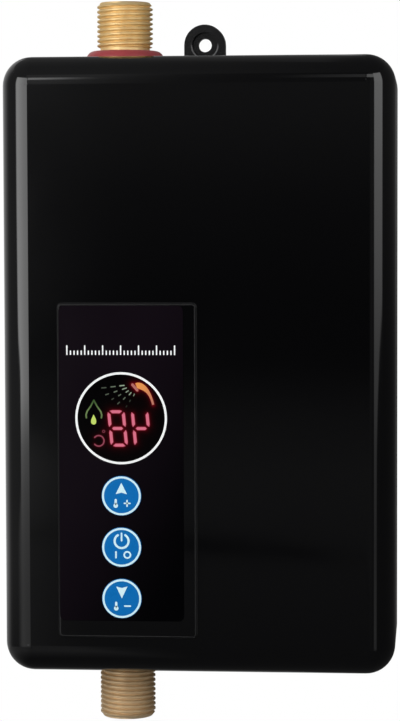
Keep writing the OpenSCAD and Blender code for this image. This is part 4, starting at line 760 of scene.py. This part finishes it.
for kind in ("up", "power", "down"):
    k = keys
    node = kind + "_button"
    low, high = np.array(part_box(node)) / mm
    x, _, z = (low + high) / 2
    keyFront, stemEnd = low[1], high[1]
    bend = np.linspace(0, np.pi / 2, k["edgeSteps"])
    edgeR = k["radius"] - k["edge"] * (1 - np.sin(bend))
    edgeY = keyFront + k["edge"] * (1 - np.cos(bend))
    profile = [
        (0, keyFront), (k["radius"] * k["flatShare"], keyFront), *zip(edgeR, edgeY),
        (k["radius"], k["flangeFront"]), (k["flangeR"], k["flangeFront"]), (k["flangeR"], k["flangeBack"]),
        (k["stemR"], k["flangeBack"]), (k["stemR"], stemEnd), (0, stemEnd),
    ]
    turned = [(revolved(profile, x, z), "cols")]
    cap = makePiece(kind + "_key", turned, finishes["dyedKey"], kind + "_key")
    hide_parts(node)
    front, back = keyFront - k["ink"], keyFront + k["ease"]
    signs = [(band(x, z, *k["rim"], front, back), "rows cols"), *keySigns(kind, x, z, front, back)]
    makePiece(kind + "_key_print", signs, finishes["keyInk"], kind + "_key")
print("buttons made")

# display: printed rim, lit digits and signs, in mm from the window's middle

low, high = np.array(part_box("display_window")) / mm
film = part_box("panel_overlay")[0][1] / mm
display = dict(
    middle=((low[0] + high[0]) / 2, (low[2] + high[2]) / 2), front=film - 0.05, back=film + 0.02,
    rim=(16.1, 16.93), rimFront=film - 0.07, windowFront=film - 0.025,
)
front, back = display["front"], display["back"]


def placed(points):  # from the display's middle to the part's frame
    return np.array(points, float) + np.array(display["middle"])


def litPiece(name, signs, values, material):  # one glow value for each sign, or one for each of its rows
    glow = [np.repeat(value, grid.shape[0] * grid.shape[1] // np.size(value))
            for (grid, _), value in zip(signs, values)]
    makePiece(name, signs, material, "casing", glow=np.concatenate(glow))


rim = band(*display["middle"], *display["rim"], display["rimFront"], back)
makePiece("display_rim", [(rim, "rows cols")], finishes["padInk"], "casing")

digits = dict(
    low=-3.75, at=-1.3, pitch=8.73, wide=5.35, tall=12.3, lean=-0.097,
    bar=1.24, slant=0.5, point=0.02, core=0.6, endGlow=0.6, sideGlow=0.35,
    gap=dict(corner=0.12, waist=0.55, level=0.36, middle=0.6),  # bare length at the ends of a bar
    layout=dict(  # both ends, which side of the bar is the digit's outside, the gaps at the ends
        a=("topLeft", "topRight", 1, "level", "level"), b=("topRight", "midRight", 1, "corner", "waist"),
        c=("midRight", "lowRight", 1, "waist", "corner"), d=("lowLeft", "lowRight", -1, "level", "level"),
        e=("midLeft", "lowLeft", -1, "waist", "corner"), f=("topLeft", "midLeft", -1, "corner", "waist"),
        g=("midLeft", "midRight", 0, "middle", "middle")),
)


def segment(first, last, side):
    # bar with slanted ends and a soft edge: its half width grows from a point at each end, which lies
    # towards its outer side or in the middle
    d = digits
    wide, point, edge = d["bar"] / 2, d["point"], d["sideGlow"]
    length = np.linalg.norm(last - first)
    way = (last - first) / length
    taper = wide * (1 + abs(side))
    s = np.array([0, taper, length - taper, length])[:, None]
    half = np.array([point, wide, wide, point])[:, None]
    shift = np.array([1, 0, 0, 1])[:, None] * side * (wide - point)
    over = shift + half * np.array([-1, -d["core"], d["core"], 1, 1, -1])
    line = placed(first + s * way)
    x = line[:, :1] - way[1] * over
    z = line[:, 1:] + way[0] * over
    y = np.array([front] * 4 + [back] * 2) + 0 * x
    glow = np.outer([d["endGlow"], 1, 1, d["endGlow"]], [edge, 1, 1, edge, edge, edge])
    return np.stack([x, y, z], -1), glow


def digit(x, lit):
    # seven bars on two stacked rectangles, leaning by "lean" for each unit of height
    d = digits
    w, h = d["wide"] / 2, d["tall"] / 2
    corner = dict(
        topLeft=(-w, h), midLeft=(-w, 0), lowLeft=(-w, -h),
        topRight=(w, h), midRight=(w, 0), lowRight=(w, -h))
    bars = []
    for letter in lit:
        first, last, side, start, stop = d["layout"][letter]
        p, q = np.array(corner[first]), np.array(corner[last])
        way = (q - p) / np.linalg.norm(q - p)
        line = np.array([p + way * d["gap"][start], q - way * d["gap"][stop]])
        line[:, 0] += d["lean"] * line[:, 1] + x
        line[:, 1] += d["low"]
        bars.append(segment(*line, side * d["slant"]))
    return bars


bars = digit(digits["at"], "abcdefg") + digit(digits["at"] + digits["pitch"], "befg")
barGlow = np.concatenate([glow.ravel() for _, glow in bars])
# red lamp behind a diffuser: pink core, red edge
redSegment = litFinish("lit_red_segment", "#da7087", "#7a0818")
barGrids = [(grid, "cols ends") for grid, _ in bars]
makePiece("lit_digits", barGrids, redSegment, "casing", glow=barGlow)

degree = dict(
    ring=(-8.3, -8.35, 1.95, -140, 140), pen=0.5, glow=0.36,
    dot=(-6.45, -4.85, 0.42, 0, 350), dotSteps=24, dotPen=0.32, dotGlow=0.2,
)
degreeLine = placed(arc(*degree["ring"]))
degreeDot = placed(arc(*degree["dot"], degree["dotSteps"]))
signs = [
    (stroke(degreeLine, degree["pen"], front, back), "cols"),
    (stroke(degreeDot, degree["dotPen"], front, back, closed=True), "rows cols"),
]
dimSegment = litFinish("lit_dim_segment", "#da7087", "#2c040b")  # the same lamp, fainter
litPiece("lit_degree", signs, [degree["glow"], degree["dotGlow"]], dimSegment)

flame = dict(
    line=((-10.04, 6.6), (-11.2, 4.4), (-12.55, 2.5), (-12.95, 1.2), (-12.8, 0.1)), middle=-10.04, pen=0.56,
    glowAt=(0, 0.25, 0.62, 0.82, 1), glow=(0.06, 0.16, 0.45, 0.4, 0.03),  # along the line from its top
    drop=(-10.15, -0.5), dropHalf=1.32, dropTall=1.85, dropPower=1.3, dropSteps=28,
)
# drop: height is the cosine of t, width the sine of t times a power of the sine of half t
t = np.linspace(0, np.pi, flame["dropSteps"])
dropWide = flame["dropHalf"] * np.sin(t) * np.sin(t / 2) ** flame["dropPower"]
dropHigh = flame["drop"][1] + flame["dropTall"] * np.cos(t)
sides = [placed(np.stack([flame["drop"][0] + way * dropWide, dropHigh], 1)) for way in (-1, 1)]
yellowFilm = litFinish("lit_yellow_film", "#c2d86a", "#1c4a22")  # yellow-green film before a lamp
litPiece("lit_drop", [(slab(*sides, front, back), "cols")], [1.0], yellowFilm)
leftLine = np.array(flame["line"])
rightLine = np.stack([2 * flame["middle"] - leftLine[:, 0], leftLine[:, 1]], 1)
outline = [(stroke(placed(line), flame["pen"], front, back), "cols") for line in (leftLine, rightLine)]
rowGlow = np.interp(np.linspace(0, 1, len(outline[0][0])), flame["glowAt"], flame["glow"])
greenFilm = litFinish("lit_green_film", "#96ae74", "#163a16")  # green film, dim where the lamp is far
litPiece("lit_flame", outline, [rowGlow, rowGlow], greenFilm)

shower = dict(
    upper=((5.33, 12.9), (7.15, 13.0), (9.34, 11.7), (10.8, 9.1), (12.26, 5.1)),
    lower=((5.9, 11.3), (6.9, 10.75), (8.6, 10.0), (10.07, 8.4), (11.5, 4.9)), armSteps=25,
    glowAt=(0, 0.45, 1), glow=(1.0, 0.9, 0.25),  # along the arm from its head
    plate=((4.25, 12.35), (6.0, 10.35)), platePen=0.95, plateGlow=0.12,
)
along = np.linspace(0, 1, shower["armSteps"])
edges = []  # each edge of the arm: cubic through its points
for edge in (shower["lower"], shower["upper"]):
    cubic = np.polyfit(np.linspace(0, 1, len(edge)), np.array(edge), 3)
    edges.append(np.stack([np.polyval(cubic[:, k], along) for k in (0, 1)], 1))
arm = slab(placed(edges[0]), placed(edges[1]), front, back)
plate = stroke(placed(shower["plate"]), shower["platePen"], front, back)
armGlow = np.interp(along, shower["glowAt"], shower["glow"])
orangeFilm = litFinish("lit_orange_film", "#e6964e", "#a8686a")  # orange film before a lamp
litPiece("lit_shower", [(arm, "cols ends"), (plate, "cols")], [armGlow, shower["plateGlow"]], orangeFilm)

spill = dict(
    radius=15.9, rings=64, turns=256, near=(0.11, 0.3), far=(0.012, 1.1),  # strength and reach, twice
    barShare=0.4, barPoints=16, barLight=1.0, armLight=1.0, plateHalf=0.47, platePoints=9, plateLight=1.2,
    ringHalf=0.25, ringLight=0.25, dotHalf=0.16, dotLight=0.2,
)
s = spill
sources = []  # points along a light, half its width, its strength
for grid, _ in bars:
    core = grid[:, 1:3, ::2].mean(1)
    line = np.linspace(core[1], core[2], s["barPoints"])
    sources.append((line, digits["bar"] * s["barShare"], s["barLight"]))
armHalf = np.linalg.norm(edges[1] - edges[0], axis=1) / 2
sources.append((placed((edges[0] + edges[1]) / 2), armHalf, s["armLight"]))
sources.append((np.linspace(*placed(shower["plate"]), s["platePoints"]), s["plateHalf"], s["plateLight"]))
sources.append((degreeLine, s["ringHalf"], s["ringLight"]))
sources.append((degreeDot, s["dotHalf"], s["dotLight"]))
# red light spilt into the window: for each source two exponentials that fall with the distance from it
r = np.linspace(0, s["radius"], s["rings"])[:, None]
t = np.linspace(0, 2 * np.pi, s["turns"], endpoint=False)
spot = placed(np.stack([r * np.cos(t), r * np.sin(t)], -1))
red = np.zeros(spot.shape[:2])
for line, half, strength in sources:
    away = np.maximum((np.linalg.norm(spot[:, :, None] - line, axis=-1) - half).min(-1), 0)
    red = red + strength * sum(share * np.exp(-away / reach) for share, reach in (s["near"], s["far"]))
disc = np.concatenate([onPanel(spot, display["windowFront"]), onPanel(spot, back)[::-1]])
redAcrylic = litFinish("lit_smoked_acrylic", "#ff0038", "#000000")  # smoked acrylic with red light in it
makePiece(
    "lit_window", [(disc, "cols")], redAcrylic, "casing",
    glow=np.concatenate([red, 0 * red]).ravel())

drops = dict(
    pen=0.42, steps=8,
    rows=(  # across, up, length, tilt in degrees, glow
        (0.4, 12.0, 2.0, 6, 0.6), (-2.9, 11.6, 2.0, 6, 0.26), (-6.3, 11.2, 2.0, 4, 0.13),
        (1.3, 10.9, 1.9, 18, 0.52), (-2.0, 9.8, 1.5, 20, 0.26), (-5.1, 8.8, 1.5, 18, 0.16),
        (2.3, 9.85, 1.4, 33, 0.45), (-0.5, 8.5, 1.3, 32, 0.2), (-3.05, 7.1, 1.1, 34, 0.09),
        (3.4, 9.05, 1.4, 50, 0.52), (1.2, 7.3, 1.3, 45, 0.2), (-0.9, 5.6, 1.3, 42, 0.13),
        (4.8, 8.6, 1.1, 65, 0.32), (3.3, 6.4, 1.0, 62, 0.05), (2.0, 4.4, 0.9, 60, 0.03)),
)
spray = []
for x, z, length, tilt, _ in drops["rows"]:
    half = np.array([np.cos(np.radians(tilt)), np.sin(np.radians(tilt))]) * (length - drops["pen"]) / 2
    line = placed([(x, z) - half, (x, z) + half])
    spray.append((stroke(line, drops["pen"], front, back, drops["steps"]), "cols"))
paleFilm = litFinish("lit_pale_film", "#b6c8ae", "#0d0f0c")  # pale film, fainter away from the shower head
litPiece("lit_spray", spray, [row[-1] for row in drops["rows"]], paleFilm)

scale = dict(left=-47.6, right=-7.9, low=4.4, short=1.7, long=3.6, count=31, every=5, width=0.5, steps=6)
ticks = []
for n, x in enumerate(np.linspace(scale["left"], scale["right"], scale["count"])):
    high = scale["long"] if n % scale["every"] == 0 else scale["short"]
    line = (scale["width"] / 2, high - scale["width"] / 2, scale["width"])
    ticks.append((upright(x, scale["low"], line, front, back, scale["steps"]), "cols"))
makePiece("panel_scale", ticks, finishes["padInk"], "casing")
print("display drawn")

# case screws with a cross recess

screws = dict(
    across=61.0, up=102.5, headBack=-1.0, headFront=-3.0, headR=2.8, dome=0.25,
    shankR=1.5, tip=-39.0, point=1.5, arm=1.55, slot=0.36, depth=0.9, wall=0.12, turnSteps=96, sharp=30,
    fine=(0, 2.0, 41), coarse=(2.05, 2.8, 10),  # rings of the head: first and last radius, count
)


def crossScrew(x, z):
    # rings from the head's middle to the tip; the head falls with the square of the radius, and its recess
    # is a cross whose walls slope down over "wall"
    s = screws
    t = np.linspace(0, 2 * np.pi, s["turnSteps"], endpoint=False)[None, :]
    ring = np.concatenate([np.linspace(*s["fine"]), np.linspace(*s["coarse"])])[:, None]
    crown = s["headBack"] - s["dome"] * (ring / s["headR"]) ** 2
    u, v = np.abs(ring * np.cos(t)), np.abs(ring * np.sin(t))
    inside = np.maximum(np.minimum(s["arm"] - u, s["slot"] - v), np.minimum(s["slot"] - u, s["arm"] - v))
    deep = crown - s["depth"] * np.clip(inside / s["wall"], 0, 1)
    side = np.array([
        (s["headR"], s["headFront"]), (s["shankR"], s["headFront"]), (s["shankR"], s["tip"] + s["point"]),
        (0, s["tip"])])
    r = np.concatenate([ring, side[:, :1]])
    y = np.concatenate([deep, side[:, 1:] + 0 * t])
    return np.stack([x + r * np.cos(t), y, z + r * np.sin(t)], -1)


heads = [(crossScrew(a * screws["across"], b * screws["up"]), "cols") for a in (-1, 1) for b in (-1, 1)]
screwSet = makePiece(
    "case_screw_set", heads, finishes["zincSteel"], "casing", screws["sharp"])
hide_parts("casing_screws")
print("screws driven")
